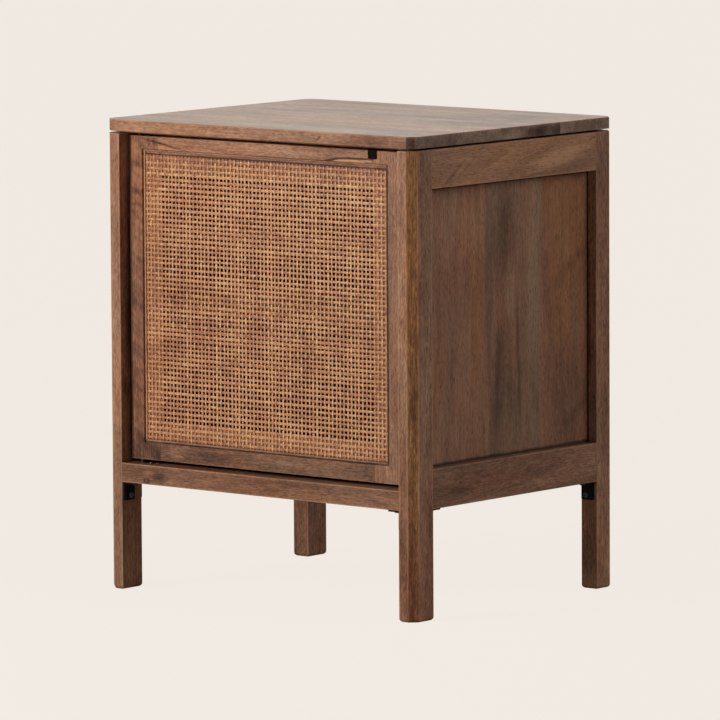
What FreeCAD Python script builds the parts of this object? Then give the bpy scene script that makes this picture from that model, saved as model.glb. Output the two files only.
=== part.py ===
"""Storage side table with one cane door: a parametric FreeCAD document, in millimetres.

X runs from left to right, the door faces -Y, and Z points up from the floor.
The origin is on the floor, under the middle of the table.
"""
import FreeCAD, Part
import os
import re
import Sketcher

# Driving sizes: name, millimetres, what it measures
SIZES = [
    ("width", 512, "table over the posts, left to right"),
    ("depth", 410, "table over the posts, front to back"),
    ("height", 610, "floor to the top of the slab"),
    ("post_x", 25, "post across the front"),
    ("post_y", 38, "post along the side"),
    ("corner_clip", 10.5, "flat on the outer corner of posts and slab"),
    ("foot_round", 4.5, "rounding under the feet"),
    ("top_thick", 18, "slab with its shadow-line step"),
    ("top_round", 1, "easing of the slab's top edge"),
    ("reveal_high", 2.8, "height of the shadow line under the slab"),
    ("reveal_deep", 14.5, "depth of the shadow line"),
    ("leg_clear", 140.5, "floor to the underside of the bottom rails"),
    ("front_rail_high", 25, "front rail, height"),
    ("side_rail_high", 50.5, "side and rear bottom rails, height"),
    ("top_rail_high", 49, "side and rear top rails, height"),
    ("rail_thick", 25, "side and rear rails, thickness"),
    ("panel_thick", 8, "side and back panels"),
    ("panel_recess", 13.5, "outer face of the frame to the panel"),
    ("groove_deep", 7, "panel grooves in posts and rails"),
    ("panel_room", 0.5, "room at a panel's edge in its groove"),
    ("fit_gap", 0.1, "glue gap on each face of tenons and let-in pieces"),
    ("tenon_room", 0.5, "room at the end of a tenon"),
    ("tenon_thick", 8, "side and rear rail tenons"),
    ("tenon_lip", 1, "wood between a panel groove and those tenons"),
    ("side_tenon_set", 8.5, "outer face of a side rail to its tenon"),
    ("tenon_web", 5, "wood between a side rail tenon and the front rail tenon"),
    ("rear_tenon_set", 5, "outer face of a rear rail to its tenon"),
    ("tenon_wall", 5.5, "wood between a front rail tenon and the clipped corner"),
    ("front_tenon_set", 5, "front face of the front rail to its tenon"),
    ("front_tenon_thick", 12, "front rail tenon"),
    ("front_shoulder", 5, "shoulder above and below the front rail tenon"),
    ("floor_thick", 9, "bottom panel"),
    ("floor_set", 11, "underside of the rails to the bottom panel"),
    ("floor_groove", 6, "bottom panel's groove"),
    ("stretcher_wide", 50, "front top stretcher, front to back"),
    ("stretcher_thick", 20, "front top stretcher, height"),
    ("stretcher_set", 9, "back of the door to the stretcher"),
    ("stub_len", 10, "stretcher's stub tenons"),
    ("stub_thick", 10, "stub tenon, height"),
    ("stub_wide", 30, "stub tenon, front to back"),
    ("batten_wide", 20, "rear top cleat, front to back"),
    ("batten_high", 20, "rear top cleat, height"),
    ("batten_short", 31, "rear post to the end of the rear top cleat"),
    ("shelf_thick", 15, "shelf"),
    ("shelf_level", 380, "floor to the top of the shelf"),
    ("shelf_back", 14, "back of the door to the shelf's front edge"),
    ("shelf_room", 0.5, "room round the shelf"),
    ("cleat_thick", 15, "shelf cleat, out from the panel"),
    ("cleat_high", 20, "shelf cleat, height"),
    ("cleat_short", 19.25, "front and back edges of the shelf to the ends of a cleat"),
    ("door_recess", 16, "front of the posts to the front of the door"),
    ("door_thick", 20, "door frame"),
    ("door_side_gap", 4, "post to door, each side"),
    ("door_low_gap", 4.8, "front rail to door"),
    ("door_top_gap", 3.1, "door to slab"),
    ("door_member", 48.5, "width of the door's stiles and rails"),
    ("hinge_stile_face", 20.9, "left stile's face outside the cane rebate"),
    ("pull_stile_face", 24.2, "right stile's face outside the cane rebate"),
    ("door_head_face", 16.6, "door's top rail face outside the cane rebate"),
    ("door_foot_face", 22.3, "door's bottom rail face outside the cane rebate"),
    ("rebate_deep", 4, "cane rebate"),
    ("door_tenon_len", 30, "door rail tenons"),
    ("door_tenon_thick", 7, "door rail tenons"),
    ("door_shoulder", 13, "shoulder above and below the door rail tenons"),
    ("bead_wide", 2.6, "bead round the cane"),
    ("bead_set", 1.6, "bead's face behind the door's face"),
    ("bead_joint", 1.3, "open joint between the side and bottom beads and the rebate's wall"),
    ("bead_head_joint", 0.4, "open joint between the top bead and the rebate's wall"),
    ("cane_gap", 0.5, "side beads to the edge of the cane"),
    ("cane_foot_gap", 1.5, "bottom bead to the edge of the cane"),
    ("cane_head_gap", 3.3, "top bead to the edge of the cane"),
    ("cane_thick", 1.8, "woven cane sheet"),
    ("cane_bar", 18.4, "cane left between two openings of the sheet's grid"),
    ("pivot_inset", 14, "left edge of the door to the pivot"),
    ("pivot_setback", 6, "front of the door to the pivot"),
    ("pin_dia", 6, "pivot pin"),
    ("pin_reach", 6, "pin past the moving leaf"),
    ("pin_gap", 0.05, "running clearance round the pin"),
    ("pin_hole_gap", 0.6, "room round the pin in the wood"),
    ("pin_room", 1, "room past the end of the pin"),
    ("collar_dia", 10, "collar under the bottom leaf"),
    ("collar_gap", 0.2, "collar to the bottom leaf"),
    ("leaf_thick", 2.5, "hinge leaves"),
    ("leaf_wide", 10, "hinge leaves, front to back"),
    ("leaf_margin", 4, "end of a leaf to the stile's inner edge"),
    ("leaf_end", 6, "end of a leaf to the pivot"),
    ("leaf_hole_end", 6, "end of a leaf to its outer hole"),
    ("bracket_wide", 19, "corner bracket"),
    ("bracket_thick", 2.5, "corner bracket"),
    ("bracket_drop", 24.5, "bracket leg on the post"),
    ("bracket_reach", 20, "bracket leg under the rail"),
    ("bracket_cross_set", 2.9, "front or back of the table to a bracket under a front or rear rail"),
    ("bracket_side_set", 4.3, "side of the table to a bracket under a side rail"),
    ("bracket_bend", 1.5, "inside of the bend of a bracket"),
    ("bracket_corner", 1.2, "corners of a bracket"),
    ("bracket_hole", 4, "screw holes of a bracket"),
    ("bracket_hole_down", 18.2, "underside of the rail to the hole on the post"),
    ("bracket_hole_in", 2, "middle of the bracket to the hole on the post, towards the middle of the table"),
    ("bracket_hole_out", 12.5, "post to the hole under the rail"),
    ("fitting_hole", 3, "screw holes of the hinges, catch and pull"),
    ("catch_len", 30, "catch body, along the door"),
    ("catch_grip", 10.8, "front edge of the stretcher to the back of the catch"),
    ("catch_high", 13, "catch body"),
    ("catch_ear", 9, "screw ear at each end of the catch"),
    ("catch_ear_thick", 3, "screw ears"),
    ("catch_set", 32, "right edge of the door to the middle of the catch"),
    ("catch_hole_set", 5, "back of the catch to its holes"),
    ("magnet_len", 22, "magnet, along the door"),
    ("magnet_high", 8, "magnet"),
    ("magnet_deep", 7, "magnet, front to back"),
    ("magnet_proud", 0.5, "magnet past the catch body"),
    ("magnet_gap", 0.3, "magnet to the strike"),
    ("strike_thick", 2, "strike plate"),
    ("strike_len", 40, "strike plate, along the door"),
    ("strike_high", 12, "strike plate"),
    ("strike_hole_step", 28, "between the strike's holes"),
    ("pull_wide", 13, "tab pull, along the door"),
    ("pull_thick", 1.8, "tab pull"),
    ("pull_plate", 16, "tab pull's plate on the door's top edge"),
    ("pull_drop", 10.5, "tab pull's lip below the door's top edge"),
    ("pull_round", 1.5, "corners of the lip"),
    ("pull_seam", 0.3, "right stile's inner edge to the middle of the pull"),
    ("pull_hole_first", 5, "front of the door to the pull's first hole"),
    ("pull_hole_step", 7, "between the pull's holes"),
]

# Levels and faces that follow from the driving sizes
# Openings of the grid that stands for the cane's fine weave
CANE_COLUMNS, CANE_ROWS = 11, 10

LAYOUT = {
    "half_w": "width / 2",
    "half_d": "depth / 2",
    "inner_x": "half_w - post_x",
    "inner_y": "half_d - post_y",
    "post_top": "height - top_thick",
    "front_rail_top": "leg_clear + front_rail_high",
    "side_rail_top": "leg_clear + side_rail_high",
    "top_rail_under": "post_top - top_rail_high",
    "panel_low": "side_rail_top - groove_deep + panel_room",
    "panel_top": "top_rail_under + groove_deep - panel_room",
    "panel_inner": "panel_recess + panel_thick",
    "side_rail_inner": "half_w - rail_thick",
    "rear_rail_inner": "half_d - rail_thick",
    "tenon_shoulder": "groove_deep + tenon_lip",
    "side_tenon_len": "post_y - front_tenon_set - front_tenon_thick - tenon_web",
    "cross_tenon_len": "post_x - corner_clip + front_tenon_set - tenon_wall",
    "back_inner": "half_d - panel_inner",
    "floor_low": "leg_clear + floor_set",
    "floor_tongue": "floor_groove - panel_room",
    "door_front": "door_recess - half_d",
    "door_back": "door_front + door_thick",
    "door_half": "inner_x - door_side_gap",
    "door_low": "front_rail_top + door_low_gap",
    "door_top": "post_top - door_top_gap",
    "door_high": "door_top - door_low",
    "seam_x": "door_half - door_member",
    "door_tenon_set": "(rebate_deep + door_thick - door_tenon_thick) / 2",
    "rebate_left": "hinge_stile_face - door_half",
    "rebate_right": "door_half - pull_stile_face",
    "rebate_low": "door_low + door_foot_face",
    "rebate_top": "door_top - door_head_face",
    "bead_left": "rebate_left + bead_joint",
    "bead_right": "rebate_right - bead_joint",
    "bead_low": "rebate_low + bead_joint",
    "bead_top": "rebate_top - bead_head_joint",
    "cane_left": "bead_left + bead_wide + cane_gap",
    "cane_right": "bead_right - bead_wide - cane_gap",
    "cane_low": "bead_low + bead_wide + cane_foot_gap",
    "cane_top": "bead_top - bead_wide - cane_head_gap",
    "cane_step_x": f"(cane_right - cane_left) / {CANE_COLUMNS}",
    "cane_step_z": f"(cane_top - cane_low) / {CANE_ROWS}",
    "pivot_x": "pivot_inset - door_half",
    "pivot_y": "door_front + pivot_setback",
    "leaf_reach": "door_member - pivot_inset - leaf_margin",
    "leaf_hole": "leaf_reach - leaf_hole_end",
    "shelf_low": "shelf_level - shelf_thick",
    "shelf_front": "door_back + shelf_back",
    "cleat_mid": "(shelf_front + back_inner) / 2",
    "cleat_half": "(back_inner - shelf_front) / 2 - cleat_short",
    "stretcher_front": "door_back + stretcher_set",
    "stretcher_low": "post_top - stretcher_thick",
    "stretcher_mid": "stretcher_front + stretcher_wide / 2",
    "batten_front": "rear_rail_inner - batten_wide",
    "batten_low": "post_top - batten_high",
    "batten_half": "inner_x - batten_short",
    "catch_x": "door_half - catch_set",
    "catch_front": "door_back + strike_thick + magnet_gap + magnet_proud",
    "catch_deep": "stretcher_front + catch_grip - catch_front",
    "catch_low": "stretcher_low - catch_high",
    "catch_ear_mid": "catch_len / 2 + catch_ear / 2",
    "strike_z": "stretcher_low - catch_high / 2",
    "pull_x": "seam_x + pull_seam",
    "bracket_cross_mid": "bracket_cross_set + bracket_wide / 2",
    "bracket_side_mid": "bracket_side_set + bracket_wide / 2",
}

PLANES = {"x": "YZ_Plane", "y": "XZ_Plane", "z": "XY_Plane"}
LEFT, RIGHT, FRONT, REAR = -1, 1, -1, 1
# Two coordinates closer than this are the same place
TOUCH = 1e-4
SIDE_NAMES = {LEFT: "left", RIGHT: "right"}
END_NAMES = {FRONT: "front", REAR: "rear"}

doc = FreeCAD.newDocument("storage_side_table")
sheet = doc.addObject("Spreadsheet::Sheet", "Sizes")
for row, (alias, value, meaning) in enumerate(SIZES, start=1):
    sheet.set(f"A{row}", meaning)
    sheet.set(f"B{row}", str(value))
    sheet.setAlias(f"B{row}", alias)
doc.recompute()
ALIASES = {alias for alias, value, meaning in SIZES}
nodes = []


def formula(text):
    """Spell a formula of size and layout names as an expression on the sheet."""
    def spell(match):
        word = match.group()
        if word in LAYOUT:
            return f"({formula(LAYOUT[word])})"
        return f"Sizes.{word}" if word in ALIASES else word
    return re.sub(r"[a-z][a-z_0-9]*", spell, text)


def bind(target, prop, text):
    target.setExpression(prop, formula(text))


def seat(target, x, y, z, rotation=FreeCAD.Rotation()):
    """Turn an object and bind its place to the sheet."""
    target.Placement = FreeCAD.Placement(FreeCAD.Vector(), rotation)
    for letter, text in zip("xyz", (x, y, z)):
        bind(target, f"Placement.Base.{letter}", text)


def piece(label, x="0", y="0", z="0"):
    """Start a body that becomes one node."""
    body = doc.addObject("PartDesign::Body", label)
    body.Label = label
    seat(body, x, y, z)
    nodes.append(body)
    return body


def sketch_on(body, axis, start, end):
    """A sketch square to an axis, where an extrusion from start to end begins."""
    sketch = body.newObject("Sketcher::SketchObject", "Outline")
    plane = [item for item in body.Origin.OriginFeatures if item.Role == PLANES[axis]][0]
    sketch.AttachmentSupport = (plane, [""])
    sketch.MapMode = "FlatFace"
    # The XZ plane faces -Y, so its sketches start at the far end
    bind(sketch, "AttachmentOffset.Base.z", f"-({end})" if axis == "y" else start)
    return sketch


def measure(sketch, kind, geometry, point, text):
    """Fix a point's distance from the sketch's origin to a formula."""
    index = sketch.addConstraint(Sketcher.Constraint(kind, -1, 1, geometry, point, 1.0))
    bind(sketch, f"Constraints[{index}]", text)


def extrude(body, sketch, start, end, cut):
    feature = body.newObject("PartDesign::Pocket" if cut else "PartDesign::Pad", "Cut" if cut else "Block")
    feature.Profile = sketch
    # A pocket runs against the sketch's normal unless it is reversed
    feature.Reversed = cut
    bind(feature, "Length", f"({end}) - ({start})")


def prism(body, axis, outline, start, end, cut=False):
    """Add or cut a straight-sided outline, given corner by corner, along an axis."""
    sketch = sketch_on(body, axis, start, end)
    count = len(outline)
    # The lines start on a rough circle, and the formulas then pull each corner into place
    corners = [FreeCAD.Rotation(FreeCAD.Vector(0, 0, 1), 360 * step / count).multVec(FreeCAD.Vector(1, 0, 0))
               for step in range(count)]
    for step in range(count):
        sketch.addGeometry(Part.LineSegment(corners[step], corners[(step + 1) % count]), False)
    for step in range(count):
        sketch.addConstraint(Sketcher.Constraint("Coincident", step, 2, (step + 1) % count, 1))
    for step, (across, up) in enumerate(outline):
        measure(sketch, "DistanceX", step, 1, across)
        measure(sketch, "DistanceY", step, 1, up)
    extrude(body, sketch, start, end, cut)


def bar(body, axis, across, up, along, cut=False):
    """Add or cut a box: two spans in the plane square to the axis, and one along it."""
    outline = [(across[0], up[0]), (across[1], up[0]), (across[1], up[1]), (across[0], up[1])]
    prism(body, axis, outline, along[0], along[1], cut)


def rounds(body, axis, centres, diameter, start, end, cut=True):
    """Drill or add round bars of one diameter along an axis."""
    sketch = sketch_on(body, axis, start, end)
    for across, up in centres:
        circle = sketch.addGeometry(Part.Circle(), False)
        measure(sketch, "DistanceX", circle, 3, across)
        measure(sketch, "DistanceY", circle, 3, up)
        index = sketch.addConstraint(Sketcher.Constraint("Diameter", circle, 2.0))
        bind(sketch, f"Constraints[{index}]", diameter)
    extrude(body, sketch, start, end, cut)


def repeat(body, columns, rows):
    """Repeat a body's last cut along X and Z: a count and the step from one to the next, for each."""
    cut = body.Tip
    axes = {item.Role: item for item in body.Origin.OriginFeatures}
    pattern = body.newObject("PartDesign::LinearPattern", "Grid")
    pattern.Originals = [cut]
    for ending, axis, (count, step) in (("", "X_Axis", columns), ("2", "Z_Axis", rows)):
        setattr(pattern, f"Direction{ending}", (axes[axis], [""]))
        setattr(pattern, f"Occurrences{ending}", count)
        bind(pattern, f"Length{ending}", f"{step} * {count - 1}")
    body.Tip = pattern


def sheet_value(text):
    """The present value of a formula."""
    return float(sheet.evalExpression(formula(text)))


def round_edges(body, radius, *tests):
    """Round the edges of a body that pass one of the tests."""
    doc.recompute()
    base = body.Tip
    names = [f"Edge{number}" for number, edge in enumerate(base.Shape.Edges, start=1)
             if any(test(edge) for test in tests)]
    fillet = body.newObject("PartDesign::Fillet", "Easing")
    fillet.Base = (base, names)
    bind(fillet, "Radius", radius)


def edges_at(**places):
    """A test for edges whose ends lie at given coordinates of their body, each a formula."""
    wanted = {letter: sheet_value(text) for letter, text in places.items()}

    def test(edge):
        return all(abs(getattr(vertex, letter) - place) < TOUCH
                   for vertex in edge.Vertexes for letter, place in wanted.items())
    return test


def signed(sign, text):
    return text if sign > 0 else f"-({text})"


def inward(side, *distances):
    """Distances in from an outer face, as coordinates in a frame that starts on that face."""
    return tuple(signed(-side, text) for text in distances)


def mirrored(step):
    """A step on both sides of the middle."""
    return [signed(side, step) for side in (LEFT, RIGHT)]


def group(label, members):
    """Put separate solids together in one node."""
    node = doc.addObject("Part::Compound", label)
    node.Label = label
    node.Links = members
    nodes.append(node)


def clipped(half_x, half_y, clip):
    """A rectangle about the middle with its corners clipped."""
    outline = []
    for sign_x, sign_y in ((1, -1), (1, 1), (-1, 1), (-1, -1)):
        on_end = (signed(sign_x, half_x), signed(sign_y, f"{half_y} - ({clip})"))
        on_side = (signed(sign_x, f"{half_x} - ({clip})"), signed(sign_y, half_y))
        outline += [on_side, on_end] if sign_x * sign_y < 0 else [on_end, on_side]
    return outline


# The pivot and its leaves, which the plates, the leaves and the wood that they are let into share
PIVOT = [("pivot_x", "pivot_y")]
LEAF_HOLES = [(f"pivot_x + {reach}", "pivot_y") for reach in ("leaf_hole / 2", "leaf_hole")]
LEAF_SPAN_X = ("pivot_x - leaf_end", "pivot_x + leaf_reach")
LEAF_SPAN_Y = ("pivot_y - leaf_wide / 2", "pivot_y + leaf_wide / 2")


def grown(span):
    """A span with a glue gap at both ends."""
    return (f"{span[0]} - fit_gap", f"{span[1]} + fit_gap")


def seen_from(origin, *places):
    """Places along one axis of the whole table, seen from a piece's own origin."""
    return tuple(f"{place} - ({origin})" for place in places)


PANEL_GROOVE = grown(("panel_recess", "panel_inner"))
FLOOR_GROOVE = grown(("floor_set", "floor_set + floor_thick"))


def build_top():
    """Slab top: a stepped underside makes the shadow line, and the corners are clipped."""
    body = piece("top_panel", z="post_top")
    step_clip = "corner_clip - reveal_deep * (2 - sqrt(2))"
    prism(body, "z", clipped("(half_w - reveal_deep)", "(half_d - reveal_deep)", step_clip), "0", "reveal_high")
    prism(body, "z", clipped("half_w", "half_d", "corner_clip"), "reveal_high", "top_thick")
    round_edges(body, "top_round", edges_at(Z="top_thick"))
    bar(body, "z", grown(LEAF_SPAN_X), grown(LEAF_SPAN_Y), ("0", "leaf_thick + fit_gap"), cut=True)


def mortise(body, axis, across, up, along):
    bar(body, axis, across, up, along, cut=True)


def build_leg(side, end):
    """One post from floor to slab, with its mortises and panel grooves."""
    body = piece(f"leg_{END_NAMES[end]}_{SIDE_NAMES[side]}", signed(side, "half_w"), signed(end, "half_d"))

    def in_x(*distances):
        return inward(side, *distances)

    def in_y(*distances):
        return inward(end, *distances)

    def corner(x, y):
        return in_x(x) + in_y(y)

    outline = [corner("corner_clip", "0"), corner("post_x", "0"), corner("post_x", "post_y"),
               corner("0", "post_y"), corner("0", "corner_clip")]
    prism(body, "z", outline, "0", "post_top")
    round_edges(body, "foot_round", edges_at(Z="0"))

    bottom_tenon = ("leg_clear + tenon_shoulder", "side_rail_top - tenon_shoulder")
    top_tenon = ("top_rail_under + tenon_shoulder", "post_top - tenon_shoulder")
    panel_edge = ("side_rail_top - groove_deep", "top_rail_under + groove_deep")
    side_tenon = grown(("side_tenon_set", "side_tenon_set + tenon_thick"))
    side_depth = ("post_y - side_tenon_len - tenon_room", "post_y")
    cross_depth = ("post_x - cross_tenon_len - tenon_room", "post_x")
    for span in (bottom_tenon, top_tenon):
        mortise(body, "z", in_x(*side_tenon), in_y(*side_depth), grown(span))
    mortise(body, "z", in_x(*PANEL_GROOVE), in_y("post_y - groove_deep", "post_y"), panel_edge)
    if end == FRONT:
        tenon = grown(("front_tenon_set", "front_tenon_set + front_tenon_thick"))
        span = ("leg_clear + front_shoulder", "front_rail_top - front_shoulder")
        mortise(body, "z", in_x(*cross_depth), in_y(*tenon), grown(span))
    else:
        tenon = grown(("rear_tenon_set", "rear_tenon_set + tenon_thick"))
        for span in (bottom_tenon, top_tenon):
            mortise(body, "z", in_x(*cross_depth), in_y(*tenon), grown(span))
        mortise(body, "z", in_x("post_x - groove_deep", "post_x"), in_y(*PANEL_GROOVE), panel_edge)


def rail_frame(label, along, side, low):
    """A rail's body, whose frame starts in the middle of its outer face's lower edge."""
    if along == "y":
        return piece(label, x=signed(side, "half_w"), z=low)
    return piece(label, y=signed(side, "half_d"), z=low)


def build_rail(label, along, side, low, high, thick, half_len, tenon, shoulder, tenon_len):
    """A rail with a tenon at each end; the tenon's bar runs right through the rail."""
    body = rail_frame(label, along, side, low)
    reach = f"{half_len} + {tenon_len}"
    bar(body, along, inward(side, "0", thick), ("0", high), (f"-({half_len})", half_len))
    bar(body, along, inward(side, *tenon), (shoulder, f"{high} - {shoulder}"), (f"-({reach})", reach))
    return body


def groove(body, along, side, span, up, half_len):
    bar(body, along, inward(side, *span), up, (f"-({half_len})", half_len), cut=True)


def build_side_rails(side):
    name = SIDE_NAMES[side]
    tenon = ("side_tenon_set", "side_tenon_set + tenon_thick")
    low = build_rail(f"side_bottom_rail_{name}", "y", side, "leg_clear", "side_rail_high", "rail_thick",
                     "inner_y", tenon, "tenon_shoulder", "side_tenon_len")
    groove(low, "y", side, PANEL_GROOVE, ("side_rail_high - groove_deep", "side_rail_high"), "inner_y")
    groove(low, "y", side, ("rail_thick - floor_groove", "rail_thick"), FLOOR_GROOVE, "inner_y")

    top = build_rail(f"side_top_rail_{name}", "y", side, "top_rail_under", "top_rail_high", "rail_thick",
                     "inner_y", tenon, "tenon_shoulder", "side_tenon_len")
    groove(top, "y", side, PANEL_GROOVE, ("0", "groove_deep"), "inner_y")
    stub_z = "top_rail_high - stretcher_thick / 2"
    mortise(top, "z", inward(side, "rail_thick - stub_len - tenon_room", "rail_thick"),
            grown(("stretcher_mid - stub_wide / 2", "stretcher_mid + stub_wide / 2")),
            grown((f"{stub_z} - stub_thick / 2", f"{stub_z} + stub_thick / 2")))


def build_cross_rails():
    """Rear rails and the front rail, which run between the left and right posts."""
    tenon = ("rear_tenon_set", "rear_tenon_set + tenon_thick")
    low = build_rail("rear_bottom_rail", "x", REAR, "leg_clear", "side_rail_high", "rail_thick",
                     "inner_x", tenon, "tenon_shoulder", "cross_tenon_len")
    groove(low, "x", REAR, PANEL_GROOVE, ("side_rail_high - groove_deep", "side_rail_high"), "inner_x")
    groove(low, "x", REAR, ("rail_thick - floor_groove", "rail_thick"), FLOOR_GROOVE, "inner_x")

    top = build_rail("rear_top_rail", "x", REAR, "top_rail_under", "top_rail_high", "rail_thick",
                     "inner_x", tenon, "tenon_shoulder", "cross_tenon_len")
    groove(top, "x", REAR, PANEL_GROOVE, ("0", "groove_deep"), "inner_x")

    tenon = ("front_tenon_set", "front_tenon_set + front_tenon_thick")
    front = build_rail("front_bottom_rail", "x", FRONT, "leg_clear", "front_rail_high", "post_y",
                       "inner_x", tenon, "front_shoulder", "cross_tenon_len")
    groove(front, "x", FRONT, ("post_y - floor_groove", "post_y"), FLOOR_GROOVE, "inner_x")
    leaf_y = seen_from("-half_d", *grown(LEAF_SPAN_Y))
    mortise(front, "z", grown(LEAF_SPAN_X), leaf_y,
            ("front_rail_high - leaf_thick - fit_gap", "front_rail_high"))


def build_hidden_top_members():
    """Stretcher behind the door's top and the cleat at the back, which carry the slab."""
    stretcher = piece("front_top_stretcher", y="stretcher_mid", z="stretcher_low")
    half_y = "stretcher_wide / 2"
    bar(stretcher, "x", (f"-{half_y}", half_y), ("0", "stretcher_thick"),
        ("-(side_rail_inner)", "side_rail_inner"))
    bar(stretcher, "x", ("-stub_wide / 2", "stub_wide / 2"),
        ("stretcher_thick / 2 - stub_thick / 2", "stretcher_thick / 2 + stub_thick / 2"),
        ("-(side_rail_inner + stub_len)", "side_rail_inner + stub_len"))

    batten = piece("rear_top_cleat", y="batten_front", z="batten_low")
    bar(batten, "x", ("0", "batten_wide"), ("0", "batten_high"), ("-(batten_half)", "batten_half"))


def build_panels():
    """Side, back and bottom panels, loose in their grooves."""
    height_span = ("panel_low", "panel_top")
    reach = "groove_deep - panel_room"
    for side in (LEFT, RIGHT):
        body = piece(f"side_panel_{SIDE_NAMES[side]}", x=signed(side, "half_w"))
        bar(body, "z", inward(side, "panel_recess", "panel_inner"),
            (f"-(inner_y + {reach})", f"inner_y + {reach}"), height_span)
    back = piece("back_panel", y="half_d")
    bar(back, "z", (f"-(inner_x + {reach})", f"inner_x + {reach}"),
        inward(REAR, "panel_recess", "panel_inner"), height_span)

    floor = piece("bottom_panel", z="floor_low")
    side_x = "side_rail_inner + floor_tongue"
    post_line = "inner_x - panel_room"
    front_y, back_y = "-(inner_y + floor_tongue)", "rear_rail_inner + floor_tongue"
    notch_y = "inner_y - panel_room"
    outline = [(f"-({post_line})", front_y), (post_line, front_y), (post_line, f"-({notch_y})"),
               (side_x, f"-({notch_y})"), (side_x, notch_y), (post_line, notch_y), (post_line, back_y),
               (f"-({post_line})", back_y), (f"-({post_line})", notch_y), (f"-({side_x})", notch_y),
               (f"-({side_x})", f"-({notch_y})"), (f"-({post_line})", f"-({notch_y})")]
    prism(floor, "z", outline, "0", "floor_thick")


def build_shelf():
    """Fixed shelf, with a cleat under each end on the side panel."""
    shelf = piece("shelf", z="shelf_low")
    half = "min(inner_x; half_w - panel_inner) - shelf_room"
    bar(shelf, "z", (f"-({half})", half), ("shelf_front", "back_inner - shelf_room"), ("0", "shelf_thick"))

    for side in (LEFT, RIGHT):
        cleat = piece(f"shelf_cleat_{SIDE_NAMES[side]}", signed(side, "half_w - panel_inner"), "cleat_mid",
                      "shelf_low - cleat_high")
        bar(cleat, "y", inward(side, "0", "cleat_thick"), ("0", "cleat_high"), ("-(cleat_half)", "cleat_half"))


def build_brackets():
    """Steel angles under the rails, two at each leg."""
    brackets = []
    for side in (LEFT, RIGHT):
        for end in (FRONT, REAR):
            mid_y = signed(end, "half_d - bracket_cross_mid")
            mid_x = signed(side, "half_w - bracket_side_mid")
            brackets.append(build_bracket(signed(side, "inner_x"), mid_y, (-side, 0, 0), side * end))
            brackets.append(build_bracket(mid_x, signed(end, "inner_y"), (0, -end, 0), -side * end))
    group("corner_brackets", brackets)


def build_bracket(x, y, away, inner):
    """One bent angle with a hole in each leg, in a frame whose X points along the rail, away from the post.

    inner is the sign of the frame's Y that points to the middle of the table.
    """
    body = doc.addObject("PartDesign::Body", "Bracket")
    seat(body, x, y, "leg_clear", FreeCAD.Rotation(FreeCAD.Vector(1, 0, 0), FreeCAD.Vector(*away)))
    half = "bracket_wide / 2"
    outline = [("0", "0"), ("0", "-bracket_drop"), ("bracket_thick", "-bracket_drop"),
               ("bracket_thick", "-bracket_thick"), ("bracket_reach", "-bracket_thick"), ("bracket_reach", "0")]
    prism(body, "y", outline, f"-{half}", half)
    round_edges(body, "bracket_bend", edges_at(X="bracket_thick", Z="-bracket_thick"))
    round_edges(body, "bracket_bend + bracket_thick", edges_at(X="0", Z="0"))
    round_edges(body, "bracket_corner", *(edges_at(Y=edge, **tip) for edge in mirrored(half)
                                          for tip in ({"Z": "-bracket_drop"}, {"X": "bracket_reach"})))
    post_hole = (signed(inner, "bracket_hole_in"), "-bracket_hole_down")
    rounds(body, "x", [post_hole], "bracket_hole", "0", "bracket_thick")
    rounds(body, "z", [("bracket_hole_out", "0")], "bracket_hole", "-bracket_thick", "0")
    return body


def build_fixed_hinges():
    """Pivot plates in the slab and the front rail, each with its pin."""
    top = piece("hinge_plate_top", z="post_top")
    bar(top, "z", LEAF_SPAN_X, LEAF_SPAN_Y, ("0", "leaf_thick"))
    rounds(top, "z", PIVOT, "pin_dia", "-(door_top_gap + leaf_thick + pin_reach)", "0", cut=False)
    rounds(top, "z", LEAF_HOLES, "fitting_hole", "0", "leaf_thick")

    low = piece("hinge_plate_bottom", z="front_rail_top")
    bar(low, "z", LEAF_SPAN_X, LEAF_SPAN_Y, ("-leaf_thick", "0"))
    rounds(low, "z", PIVOT, "pin_dia", "0", "door_low_gap + leaf_thick + pin_reach", cut=False)
    rounds(low, "z", PIVOT, "collar_dia", "0", "door_low_gap - collar_gap", cut=False)
    rounds(low, "z", LEAF_HOLES, "fitting_hole", "-leaf_thick", "0")


def build_door_hinges():
    """Moving leaves, let in flush in the left stile's two ends."""
    running = "pin_dia + 2 * pin_gap"
    top = piece("hinge_leaf_top", z="door_top")
    bar(top, "z", LEAF_SPAN_X, LEAF_SPAN_Y, ("-leaf_thick", "0"))
    rounds(top, "z", PIVOT, running, "-leaf_thick", "0")
    rounds(top, "z", LEAF_HOLES, "fitting_hole", "-leaf_thick", "0")

    low = piece("hinge_leaf_bottom", z="door_low")
    bar(low, "z", LEAF_SPAN_X, LEAF_SPAN_Y, ("0", "leaf_thick"))
    rounds(low, "z", PIVOT, running, "0", "leaf_thick")
    rounds(low, "z", LEAF_HOLES, "fitting_hole", "0", "leaf_thick")


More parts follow.
